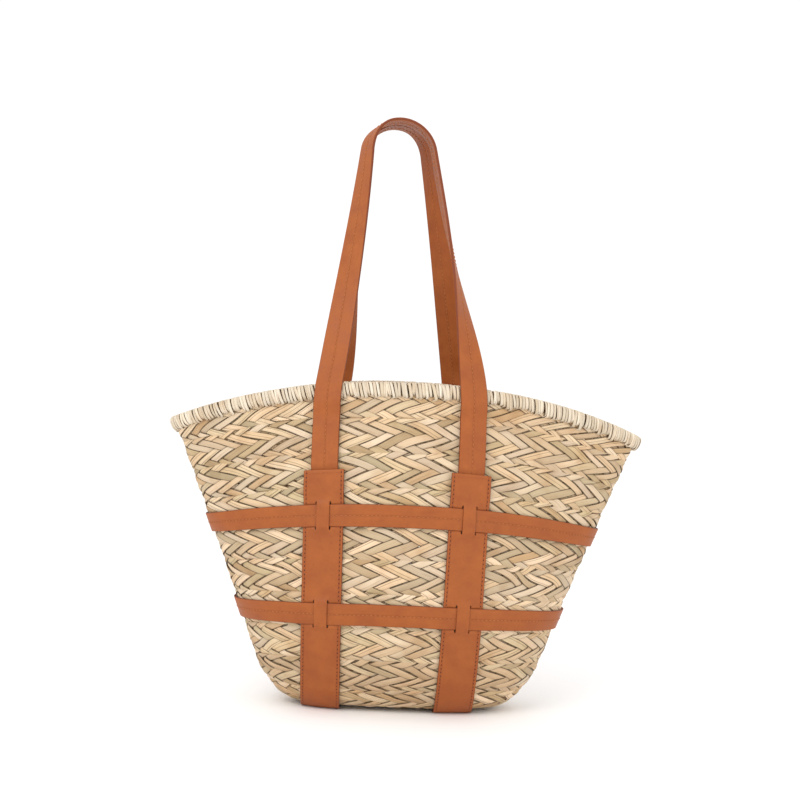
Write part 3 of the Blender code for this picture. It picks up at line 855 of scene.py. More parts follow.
        def place(rows: Array, columns: Array) -> Array:
            """Points of the strand's skin.

            Args:
                rows: Row numbers.
                columns: Numbers of the section's corners.

            Returns:
                The points.
            """
            reach, body, rise = shape[columns, 0], shape[columns, 1], shape[columns, 2]
            out = body * self.thickness + rise * crown[rows]
            wing = reach * half[rows]
            flat_u = u[rows] + across[rows, 0] * wing + normal[rows, 0] * aside[rows]
            flat_v = v[rows] + across[rows, 1] * wing + normal[rows, 1] * aside[rows] + face_v[rows] * out
            flat_z = z[rows] + face_z[rows] * (out + tilt[rows] * wing)
            level = 2.0 * flat_v / self.width
            flat_u = flat_u + self.warp * (bend_u(flat_u) + self.edge_warp * drift(flat_u) * level)
            inside = np.clip(1.0 - level * level, 0.0, 1.0)
            flat_v = flat_v + self.warp * self.side_warp * bend_v(flat_u) * inside
            angle = np.interp(flat_u % girth, walked, angles)
            offset = self.middle + flat_z - self.bulge * np.minimum(level * level, self.bulge_limit)
            return self.surface(angle, flat_v / self.width + 0.5, offset)

        leaf_length = rng.integers(*self.leaf_passes, passes)
        leaf = np.zeros(passes, int)
        left, current = 0, 0
        for step in range(passes):
            if left == 0:
                left, current = leaf_length[step], current + 1
            leaf[step] = current
            left -= 1
        tone = rng.random(current + 1)[leaf]
        light = np.clip(rng.random(current + 1)[leaf] * self.leaf_light
                        + rng.random(passes) * (1.0 - self.leaf_light), 0.0, 1.0)
        length = self.width / math.sin(slope)
        start = rng.uniform(0.0, 3.0, passes)

        def uv(rows: Array, columns: Array) -> Array:
            """Distance along the strand, and across it over both faces."""
            which = np.minimum(rows, len(index) - 1)
            reach = shape[columns % len(shape), 0]
            covered = start[turn[which]] + q[which] / self.strands * length
            return np.stack([covered, reach * LEAF_HALF_WIDTH], -1)

        bm = Sweep(len(index), len(shape), loop=True).build(
            place, uv, {"leaf": lambda rows: tone[turn[rows % len(index)]],
                        "light": lambda rows: light[turn[rows % len(index)]]})
        return to_piece(bm, name, finish, LEAF_CREASE)


@dataclass
class Basket:
    """The base and the turns of the wall. The upper part of the last one is under the rim's whipping."""

    rounds: int = 10
    top_below_rim: float = 0.0095       # the wall's top edge, under the rope
    overlap: float = 0.0020             # neighbouring edges are sewn into each other by this much
    crush: float = 0.0030               # what is under the whipping is pressed into this length of wall
    edge_wander: float = 0.0010
    spine: float = 0.67                 # the flat start's middle line, as a share of the base's width
    base_strand_pitch: float = 0.0150
    seed: int = 77

    def seams(self) -> list[Callable[[Array], Array]]:
        """The sewn lines from the base's edge to the rim, each a length of wall for an angle.

        Returns:
            One function for each seam, from the foot up.
        """
        rng = np.random.default_rng(self.seed)
        pitch = WALL.length / self.rounds
        made = []
        for seam in range(self.rounds + 1):
            wander = soft_noise(rng, 2 * math.pi, 7, 3)
            size = 0.0 if seam == 0 else self.edge_wander
            made.append(lambda angle, at=seam * pitch, by=size, curve=wander: at + by * curve(angle))
        return made

    def wall_surface(self, low: Callable[[Array], Array], high: Callable[[Array], Array]) -> Callable:
        """Places points of a round between two seams.

        Args:
            low: The round's lower seam.
            high: Its upper seam.

        Returns:
            A function from angle, share of the width and offset to points.
        """
        top = WALL.length - self.top_below_rim
        knee = top - self.crush

        def surface(angle: Array, share: Array, offset: Array) -> Array:
            """Points at an angle, a share of the round's width and an offset outwards."""
            foot, head = low(angle) - self.overlap / 2, high(angle) + self.overlap / 2
            length = np.maximum(foot + (head - foot) * share, 0.0)
            pressed = knee + (length - knee) * self.crush / (WALL.length - knee)
            return WALL.off(angle, np.where(length > knee, np.minimum(pressed, top), length), offset)
        return surface

    def base_surface(self, angle: Array, share: Array, offset: Array) -> Array:
        """Places points of the flat start, from its middle line out to the base's edge.

        Args:
            angle: As on the wall.
            share: 0 at the middle line, 1 at the edge.
            offset: Distance down from the plait's face.

        Returns:
            The points.
        """
        edge = WALL.point(angle, np.zeros_like(angle))
        inner = edge * np.array([self.spine, 0.0, 1.0])
        point = inner + (edge - inner) * share[..., None]
        return point - np.array([0.0, 0.0, 1.0]) * np.asarray(offset)[..., None]

    def build(self) -> None:
        """Plaits every round and gives it its finish."""
        straw = PalmLeaf().make()
        seams = self.seams()
        angles = np.linspace(-math.pi, math.pi, 721)[:-1]
        half = np.full_like(angles, 0.5)
        width = WALL.length / self.rounds + self.overlap
        for turn in range(self.rounds):
            surface = self.wall_surface(seams[turn], seams[turn + 1])
            girth = surface(angles, half, np.zeros_like(angles))
            piece = Plait(turn + 1, surface, girth, width).build(f"plait_round_{turn + 1}", straw)
            self.dress(piece, f"wall_round_{turn + 1}")
        girth = self.base_surface(angles, half, np.zeros_like(angles))
        depth = float(WALL.half_depth(0.0))
        piece = Plait(0, self.base_surface, girth, depth, self.base_strand_pitch).build("plait_base", straw)
        self.dress(piece, "base_braid")

    def dress(self, piece: bpy.types.Object, node: str) -> None:
        """Hands a round over to the frame in place of its CAD node.

        Args:
            piece: The plaited round.
            node: The CAD node that it stands for.
        """
        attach(piece, "root")
        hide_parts(node)
        log.info("%s: %d faces", piece.name, len(piece.data.polygons))


# ==== The rim =============================================================================================
@dataclass
class Rim:
    """Leaf strip whipped over the rope and through the top round, stroke beside stroke."""

    pitch: float = 0.0031
    strip_width: float = 1.02           # share of the pitch
    thickness: float = 0.0009
    crown: float = 0.0004
    half_thickness: float = 0.0049      # of the whole rim, to the middle of the strip
    depth: float = 0.0124               # below the rim's top where the strip goes through the wall
    middle: float = -0.00225            # the middle of the braid, behind the wall's surface
    back_lift: float = 0.0030           # the back's middle stands this much higher
    steps: int = 16                     # rows to a stroke
    side_power: float = 0.62            # the way round the rim is squarer than an ellipse at its sides
    top_power: float = 0.80             # and at its top
    lean: float = 0.10
    lean_spread: float = 0.05
    width_spread: float = 0.10
    width_limits: tuple[float, float] = (0.70, 1.2)
    depth_spread: float = 0.0011
    proud_spread: float = 0.00035
    tilt_spread: float = 0.09
    place_spread: float = 0.00028
    facing: tuple[float, float] = (0.55, 1.6)       # how squarely the strip faces outwards and up
    seed: int = 515
    section: tuple[tuple[float, float, float], ...] = (
        (-1.0, 0.0, 0.0), (-0.72, 0.5, 0.55), (0.0, 0.5, 1.0), (0.72, 0.5, 0.55),
        (1.0, 0.0, 0.0), (0.72, -0.5, 0.0), (0.0, -0.5, 0.0), (-0.72, -0.5, 0.0))

    def profile(self, turn: Array) -> tuple[Array, Array, Array, Array]:
        """The way round the rim.

        Args:
            turn: From 0 at the top, over the outer face, to 1 at the top again.

        Returns:
            Distance outwards and down from the rim's top edge, and the facing in those two directions.
        """
        phi = 2 * math.pi * turn
        side, level = np.sin(phi), np.cos(phi)
        wide = np.sign(side) * np.abs(side) ** self.side_power * self.half_thickness
        tall = (1.0 - np.sign(level) * np.abs(level) ** self.top_power) / 2 * self.depth
        facing = unit(np.stack([side * self.depth * self.facing[0],
                                level * self.half_thickness * self.facing[1]], -1))
        return wide, tall, facing[..., 0], facing[..., 1]

    def build(self) -> None:
        """Winds the whipping and dresses the rope under it."""
        # the whipping's darkened strip edges and creases are painted shade, as on the plait
        finish = PalmLeaf(name="palm_leaf_whipping", tones=("EADBC4", "E1D0B7", "D9C7AD", "EEE1CC", "D4C1A4"),
                          edge_colour="6A4E30", half_width=STRIP_HALF_WIDTH, roughness=(0.46, 0.66),
                          brightness=(0.82, 1.02)).make()
        rng = np.random.default_rng(self.seed)
        angles = np.linspace(-math.pi, math.pi, 1441)
        top = WALL.point(angles, np.full_like(angles, WALL.length))
        walked = distances(top)
        girth = float(walked[-1])
        strokes = round(girth / self.pitch)
        pitch = girth / strokes
        index = np.arange(strokes * self.steps)
        stroke, share = index // self.steps, (index % self.steps) / self.steps

        def along(values: Array) -> Array:
            """A value for each stroke, eased from one to the next over its back."""
            step = values[(stroke + 1) % strokes] - values[stroke]
            return values[stroke] + step * ease((share - 0.5) * 2)

        lean = along(rng.normal(0.0, self.lean_spread, strokes)) + self.lean
        wide = along(np.clip(rng.normal(1.0, self.width_spread, strokes), *self.width_limits))
        wide = wide * pitch * self.strip_width / 2
        deeper = along(rng.normal(0.0, self.depth_spread, strokes))
        proud = along(np.abs(rng.normal(0.0, self.proud_spread, strokes)))
        tilt = along(rng.normal(0.0, self.tilt_spread, strokes))
        wander = along(rng.normal(0.0, self.place_spread, strokes))
        out, down, face_out, face_down = self.profile(share)
        out = out + np.sign(out) * proud
        down = down + deeper * (down / self.depth) ** 2
        leaning = lean * (down - self.depth / 2) * np.where(share < 0.5, -1.0, 1.0)
        centre = pitch * (stroke + share) + wander - leaning
        shape = np.array(self.section)

        def place(rows: Array, columns: Array) -> Array:
            """Points of the strip's skin.

            Args:
                rows: Row numbers.
                columns: Numbers of the section's corners.

            Returns:
                The points.
            """
            reach, body, rise = shape[columns, 0], shape[columns, 1], shape[columns, 2]
            lift = body * self.thickness + rise * self.crown + tilt[rows] * reach * wide[rows]
            angle = np.interp((centre[rows] + reach * wide[rows]) % girth, walked, angles)
            edge = np.full_like(angle, WALL.length)
            point, normal, _ = WALL.frame(angle, edge)
            up = np.cross(normal, WALL.around(angle, edge))
            outwards = self.middle + out[rows] + face_out[rows] * lift
            raised = self.back_lift * np.clip(np.sin(angle), 0.0, 1.0) ** 4
            upwards = raised - (down[rows] + self.thickness) + face_down[rows] * lift
            return point + normal * outwards[:, None] + up * upwards[:, None]

        tone, light = rng.random(strokes), rng.random(strokes)
        around = 2 * (self.depth + 2 * self.half_thickness)

        def uv(rows: Array, columns: Array) -> Array:
            """Distance along the strip, and across it."""
            across = shape[columns % len(shape), 0] * STRIP_HALF_WIDTH
            return np.stack([rows / self.steps * around, across], -1)

        bm = Sweep(len(index), len(shape), loop=True).build(
            place, uv, {"leaf": lambda rows: tone[stroke[rows % len(index)]],
                        "light": lambda rows: light[stroke[rows % len(index)]]})
        piece = to_piece(bm, "rim_whipping_strip", finish, LEAF_CREASE)
        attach(piece, "root")
        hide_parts("rim_binding")
        log.info("%s: %d strokes", piece.name, strokes)
        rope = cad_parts["rim_core"]
        rope.data.materials.clear()
        rope.data.materials.append(Rope().make())


# ==== The harness =========================================================================================
@dataclass
class Stitching:
    """Saddle stitches laid in a row, each a short bent thread sunk at both ends."""

    pitch: float = STITCH_PITCH
    length: float = 0.0029
    radius: float = 0.00034
    rise: float = 0.00028

    def add(self, bm: bmesh.types.BMesh, path: Row, start: float, end: float) -> None:
        """Adds a row of stitches.

        Args:
            bm: What they are added to.
            path: From a distance along the row to points on the leather and the directions out of it.
            start: Where the row starts.
            end: Where it ends.
        """
        first, last = math.ceil(start / self.pitch), math.floor(end / self.pitch)
        for step in range(first, last):
            middle = (step + 0.5) * self.pitch
            ends = np.array([middle - self.length / 2, middle, middle + self.length / 2])
            points, outs = path(ends)
            ahead = Vector(points[2] - points[0]).normalized()
            out = Vector(outs[1])
            aside = ahead.cross(out).normalized()
            out = aside.cross(ahead)
            turn = Matrix((ahead, aside, out)).transposed().to_4x4()
            turn.translation = Vector(points[1])
            made = bmesh.ops.create_icosphere(bm, subdivisions=1, radius=1.0)["verts"]
            bmesh.ops.scale(bm, verts=made, vec=(self.length / 2, self.radius, self.radius + self.rise))
            bmesh.ops.transform(bm, verts=made, matrix=turn)


@dataclass
class Harness:
    """Sizes that the straps, belts and handles share, and where each lies on the wall."""

    strap_width: float = 0.0355
    strap_thickness: float = 0.0013
    strap_clearance: float = 0.0005
    pressed: float = 0.0004             # into the wall, under a belt
    foot_clearance: float = 0.0010      # under the base
    foot_turn: float = 0.030            # length of wall over which a strap turns under the base
    strap_top_below_rim: float = 0.078
    spacing_front: float = 0.130
    spacing_back: float = 0.118
    spacing_base: float = 0.121
    shift: float = -0.009
    belt_width: float = 0.020
    belt_thickness: float = 0.0013
    belt_heights: tuple[float, float] = (0.0925, 0.1810)
    belt_clearance: float = 0.0001
    keeper_width: float = 0.0115
    slit_width: float = 0.0008
    keeper_ramp: tuple[float, float] = (-0.0008, 0.0072)    # where it comes down, past the belt's edge
    keeper_spread: float = 0.0110       # how far across the strap its ends are felt
    slit_overrun: float = 0.0024
    tail_length: float = 0.0200
    tail_thickness: float = 0.0014
    tail_ramp: float = 0.0080
    gap: float = 0.0003
    strap_top: float = field(init=False)
    belts: tuple[float, ...] = field(init=False)

    def __post_init__(self) -> None:
        """Measures the lengths of wall up to the straps' tops and the belts."""
        self.strap_top = WALL.length_at(WALL.height - self.strap_top_below_rim)
        self.belts = tuple(WALL.length_at(height) for height in self.belt_heights)

    @property
    def belt_offset(self) -> float:
        """The back of a belt off the wall, where it crosses a strap."""
        return self.strap_clearance - self.pressed + self.strap_thickness + self.belt_clearance

    @property
    def keeper_offset(self) -> float:
        """The back of a keeper off the wall."""
        return self.belt_offset + self.belt_thickness + self.belt_clearance

    @property
    def tail_cover(self) -> float:
        """The back of a strap off the wall, where it covers a handle's sewn end."""
        return self.strap_clearance + self.tail_thickness + self.gap

    def strap_x(self, hand: int, side: int, length: Array) -> Array:
        """x of a strap's centre line at a length up the wall.

        Args:
            hand: -1 for the left, 1 for the right.
            side: -1 for the front, 1 for the back.
            length: Length up the wall.

        Returns:
            x at each length.
        """
        top = self.spacing_front if side < 0 else self.spacing_back
        spacing = self.spacing_base + (top - self.spacing_base) * length / self.strap_top
        return self.shift + hand * spacing / 2

    def tail_rise(self, length: Array) -> Array:
        """How far a strap stands out over a handle's sewn end."""
        climbed = (length - (self.strap_top - self.tail_length - self.tail_ramp)) / self.tail_ramp
        return ease(climbed) * (self.tail_cover - self.strap_clearance)

    def clearance(self, length: Array) -> Array:
        """The back of a strap off the wall, which grows where the strap turns under the base."""
        foot = (1.0 - ease(length / self.foot_turn)) * (self.foot_clearance - self.strap_clearance)
        return self.strap_clearance + foot + self.tail_rise(length)

    def belt_rise(self, length: Array, across: Array) -> Array:
        """How far a strap stands out as a keeper, or is pressed in beside it.

        Args:
            length: Length up the wall.
            across: Distance from the strap's middle.

        Returns:
            Distance out, below 0 where the belt presses the strap in.
        """
        full = self.keeper_offset - self.strap_clearance
        start, end = self.keeper_ramp
        spread = 1.0 - ease((np.abs(across) - self.keeper_width / 2 - self.slit_width) / self.keeper_spread)
        keeper = np.abs(across) <= self.keeper_width / 2 + 1e-6
        rise = np.zeros(np.broadcast(length, across).shape)
        for belt in self.belts:
            past = np.abs(length - belt) - self.belt_width / 2
            bump = full * (1.0 - ease((past - start) / (end - start)))
            free = ease(past / self.slit_overrun)
            beside = bump * spread * free - self.pressed * (1.0 - free)
            rise = np.where(np.abs(length - belt) < 2 * self.belt_width, np.where(keeper, bump, beside), rise)
        return rise


HARNESS = Harness()


@dataclass
class WideStrap:
    """A wide strap down the front, under the base and up the back, slit for the belts, its edges sewn."""

    hand: Hand
    step: float = 0.0032
    floor_rows: int = 14
    foot_step: float = 0.6          # rows are closer by this much where the strap turns under the base
    extra_columns: tuple[float, float] = (0.0028, 0.0058)       # past a slit
    corner: float = 0.00045
    stitch_inset: float = STITCH_INSET
    stitch_margin: float = 0.0030   # from the strap's ends
    sunk: float = 0.0006            # of the stitches where the bag stands on them
    sunk_length: float = 0.008

    def stations(self) -> tuple[Array, Array]:
        """Rows of the strap from its front top to its back top, as a side and a length up the wall.

        Returns:
            The side, 0 under the base, and the length, which goes from -1 to 1 under the base.
        """
        rows = {0.0, HARNESS.strap_top}
        for belt in HARNESS.belts:
            half = HARNESS.belt_width / 2
            for reach in (half, half + HARNESS.slit_overrun / 2, half + HARNESS.slit_overrun):
                rows |= {belt - reach, belt + reach}
        fixed = sorted(rows)
        filled = [fixed[0]]
        for low, high in zip(fixed, fixed[1:]):
            step = self.step * self.foot_step if low == 0.0 else self.step
            cuts = max(1, math.ceil((high - low) / step))
            filled += [low + (high - low) * (cut + 1) / cuts for cut in range(cuts)]
        up = np.array(filled)
        floor = np.linspace(-1.0, 1.0, self.floor_rows)
        side = np.concatenate([np.full(len(up) - 1, -1), np.zeros(len(floor)), np.full(len(up) - 1, 1)])
        return side.astype(int), np.concatenate([up[:0:-1], floor, up[1:]])

    def columns(self) -> Array:
        """Distances across the strap.

        Returns:
            The distances, from edge to edge.
        """
        keeper = HARNESS.keeper_width / 2
        half = HARNESS.strap_width / 2
        outer = keeper + HARNESS.slit_width
        beside = [outer + more for more in self.extra_columns]
        right = [keeper, outer, *beside, half - self.stitch_inset, half]
        return np.array([-reach for reach in right[::-1]] + [-keeper / 2, 0.0, keeper / 2] + right)

    def place(self, side: Array, along: Array, across: Array, out: float | Array = 0.0) -> Array:
        """Points of the strap's back, or a distance out from it.

        Args:
            side: -1 on the front, 0 under the base, 1 on the back.
            along: Length up the wall, or share of the base's depth.
            across: Distance from the strap's middle.
            out: Distance out from its back.

        Returns:
            The points.
        """
        on_wall = np.where(side == 0, 0.0, along)
        way = np.where(side == 0, 1, side)
        centre = np.where(side == 1, HARNESS.strap_x(self.hand.value, 1, on_wall),
                          HARNESS.strap_x(self.hand.value, -1, on_wall))
        x = centre + across
        angle = WALL.angle_at(x, on_wall, way)
        offset = HARNESS.clearance(on_wall) + HARNESS.belt_rise(on_wall, across) + out
        floor = np.stack([x, WALL.point(angle, on_wall)[..., 1] * along,
                          WALL.base_lift - HARNESS.foot_clearance - out + np.zeros_like(x)], -1)
        return np.where((side == 0)[..., None], floor, WALL.off(angle, on_wall, offset))

    def build(self, finish: bpy.types.Material, paint: bpy.types.Material,
              thread: bpy.types.Material) -> None:
        """Cuts, lays and sews the strap, and paints its cut edges.

        Args:
            finish: The leather.
            paint: Its painted edge.
            thread: The thread.
        """
        side, along = self.stations()
        across = self.columns()
        count = len(side)
        middle = self.place(side, along, np.zeros(count))
        walked = distances(middle)
        walked -= walked[-1] / 2

        def uv(rows: Array, columns: Array) -> Array:
            """Distance along the strap, and across it."""
            return np.stack([walked[rows], across[columns]], -1)

        def slit(rows: Array, columns: Array) -> Array:
            """Whether a face of the sheet is cut away for a slit."""
            middle = (along[rows] + along[rows + 1]) / 2
            reach = HARNESS.belt_width / 2 + HARNESS.slit_overrun
            crossed = [np.abs(middle - belt) < reach for belt in HARNESS.belts]
            double = np.abs(across[columns] + across[columns + 1])
            between = double - HARNESS.keeper_width - HARNESS.slit_width
            return np.any(crossed, axis=0) & (side[rows] != 0) & (np.abs(between) < 1e-6)

        bm = Sweep(count, len(across), tube=False).build(
            lambda rows, columns: self.place(side[rows], along[rows], across[columns]), uv, holes=slit)
        bm.normal_update()
        first = min(bm.faces, key=lambda face: face.calc_center_median().y)
        if first.normal.y > 0:
            bmesh.ops.reverse_faces(bm, faces=bm.faces)
        name = self.hand.name.lower()
        piece = to_piece(bm, f"wide_strap_{name}", finish, STRAP_CREASE)
        body = piece.modifiers.new("thickness", "SOLIDIFY")
        body.thickness = HARNESS.strap_thickness
        body.offset = 1.0
        body.use_even_offset = True
        body.material_offset_rim = 1
        piece.data.materials.append(paint)
        rounded = piece.modifiers.new("rounded_edges", "BEVEL")
        rounded.width = self.corner
        rounded.segments = 2
        rounded.limit_method = "ANGLE"
        rounded.angle_limit = math.radians(50)
        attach(piece, "root")
        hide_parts(f"{name}_strap")
        self.sew(thread, side, along, walked, name)
        log.info("%s: %d faces", piece.name, len(piece.data.polygons))

    def sew(self, thread: bpy.types.Material, side: Array, along: Array, walked: Array, name: str) -> None:
        """Sews both edges and across both ends.

        Args:
            thread: The thread.
            side: Sides of the strap's rows.
            along: Their places.
            walked: Distances to them along the strap.
            name: Which strap it is.
        """
        stitches = Stitching()
        bm = bmesh.new()
        reach = HARNESS.strap_width / 2 - self.stitch_inset
        foot = float(WALL.half_depth(0.0))
        run = np.where(side == 0, along * foot, side * (along + foot))

        def on_face(sides: Array, lengths: Array, spread: Array) -> tuple[Array, Array]:
            """Points on the strap's outer face, and the directions out of it."""
            standing = np.where(sides == 0, 1.0, 1.0 - ease(lengths / self.sunk_length))
            out = HARNESS.strap_thickness - self.sunk * standing
            outer = self.place(sides, lengths, spread, out)
            return outer, unit(outer - self.place(sides, lengths, spread, out - SKIN_STEP))

        def line(across: float) -> Row:
            """The row of stitches at a distance across the strap."""
            def path(places: Array) -> tuple[Array, Array]:
                """Points and directions along it."""
                where = np.interp(places, walked, run)
                sides = np.where(np.abs(where) < foot, 0, np.sign(where)).astype(int)
                lengths = np.where(sides == 0, where / foot, np.abs(where) - foot)
                return on_face(sides, lengths, np.full_like(where, across))
            return path

        for edge in (-reach, reach):
            stitches.add(bm, line(edge), walked[0] + self.stitch_margin, walked[-1] - self.stitch_margin)
        for end in (-1, 1):
            def across_top(places: Array, way: int = end) -> tuple[Array, Array]:
                """Points and directions along the row across the strap's end."""
                lengths = np.full(len(places), HARNESS.strap_top - self.stitch_margin)
                return on_face(np.full(len(places), way), lengths, places)

            stitches.add(bm, across_top, -reach, reach)
        piece = to_piece(bm, f"wide_strap_{name}_stitches", thread, NO_CREASE)
        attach(piece, "root")


@dataclass
class Belt:
    """A belt right round the basket, over the straps' outer thirds and under their keepers."""

    name: str
    middle: float
    on_wall: float = 0.0002         # off the wall between the straps
    ramp: float = 0.020             # length over which it climbs on to a strap
    landing: float = 0.0015         # past a strap's edge, where it is fully up
    segments: int = 420
    corner: float = 0.0005

    def offset(self, x: Array, side: Array) -> Array:
        """The belt's back off the wall, for places round the basket.

        Args:
            x: x of the places.
            side: -1 for the front, 1 for the back.

        Returns:
            The offsets.
        """
        near = np.full(x.shape, 1.0)
        for hand in Hand:
            for way in Way:
                centre = HARNESS.strap_x(hand.value, way.value, self.middle)
                away = np.abs(x - centre) - HARNESS.strap_width / 2 - self.landing
                near = np.where(side == way.value, np.minimum(near, away), near)
        climb = 1.0 - ease(near / self.ramp)
        return self.on_wall + (HARNESS.belt_offset - self.on_wall) * climb

    def section(self) -> Array:
        """Corners of the section as distance up from the middle and out from the back.

        Returns:
            The corners in order.
        """
        half, thick, corner = HARNESS.belt_width / 2, HARNESS.belt_thickness, self.corner
        shape = []
        for up, out, start in ((half, thick, 0), (-half, thick, 1), (-half, 0.0, 2), (half, 0.0, 3)):
            centre = np.array([up - math.copysign(corner, up), abs(out - corner)])
            for part in range(3):
                turn = math.radians(90 * start + 45 * part)
                shape.append(centre + corner * np.array([math.cos(turn), math.sin(turn)]))
            if start in (0, 2):
                for share in (0.25, 0.5, 0.75):
                    far = half - corner
                    shape.append(np.array([(far - 2 * far * share) * (1 if start == 0 else -1), out]))
        return np.array(shape)

    def build(self, finish: bpy.types.Material, thread: bpy.types.Material) -> None:
        """Lays and sews the belt.

        Args:
            finish: The leather.
            thread: The thread.
        """
        fine = np.linspace(-math.pi, math.pi, 2881)
        line = WALL.point(fine, np.full_like(fine, self.middle))
        walked = distances(line)
        girth = float(walked[-1])
        places = girth * np.arange(self.segments) / self.segments
        shape = self.section()

        def lay(along: Array, up: Array, out: Array) -> Array:
            """Points of the belt from the distance round, the distance up and the distance from its back."""
            angle = np.interp(along % girth, walked, fine)
            x = WALL.point(angle, np.full_like(angle, self.middle))[:, 0]
            base = self.offset(x, np.where(np.sin(angle) < 0, -1, 1))
            return WALL.off(angle, self.middle + up, base + out)

        bm = Sweep(self.segments, len(shape), loop=True).build(
            lambda rows, columns: lay(places[rows], shape[columns, 0], shape[columns, 1]),
            lambda rows, columns: np.stack([rows * girth / self.segments,
                                            shape[columns % len(shape), 0]], -1))
        piece = to_piece(bm, f"{self.name}_leather", finish)
        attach(piece, "root")
        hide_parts(self.name)

        def path(along: Array) -> tuple[Array, Array]:
            """The row of stitches along the belt's middle."""
            outer = lay(along, np.zeros_like(along), np.full_like(along, HARNESS.belt_thickness))
            return outer, unit(outer - lay(along, np.zeros_like(along), np.zeros_like(along)))

        sewn = bmesh.new()
        Stitching().add(sewn, path, 0.0, girth)
        stitches = to_piece(sewn, f"{self.name}_stitches", thread, NO_CREASE)
        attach(stitches, "root")
        log.info("%s: %d faces", piece.name, len(piece.data.polygons))


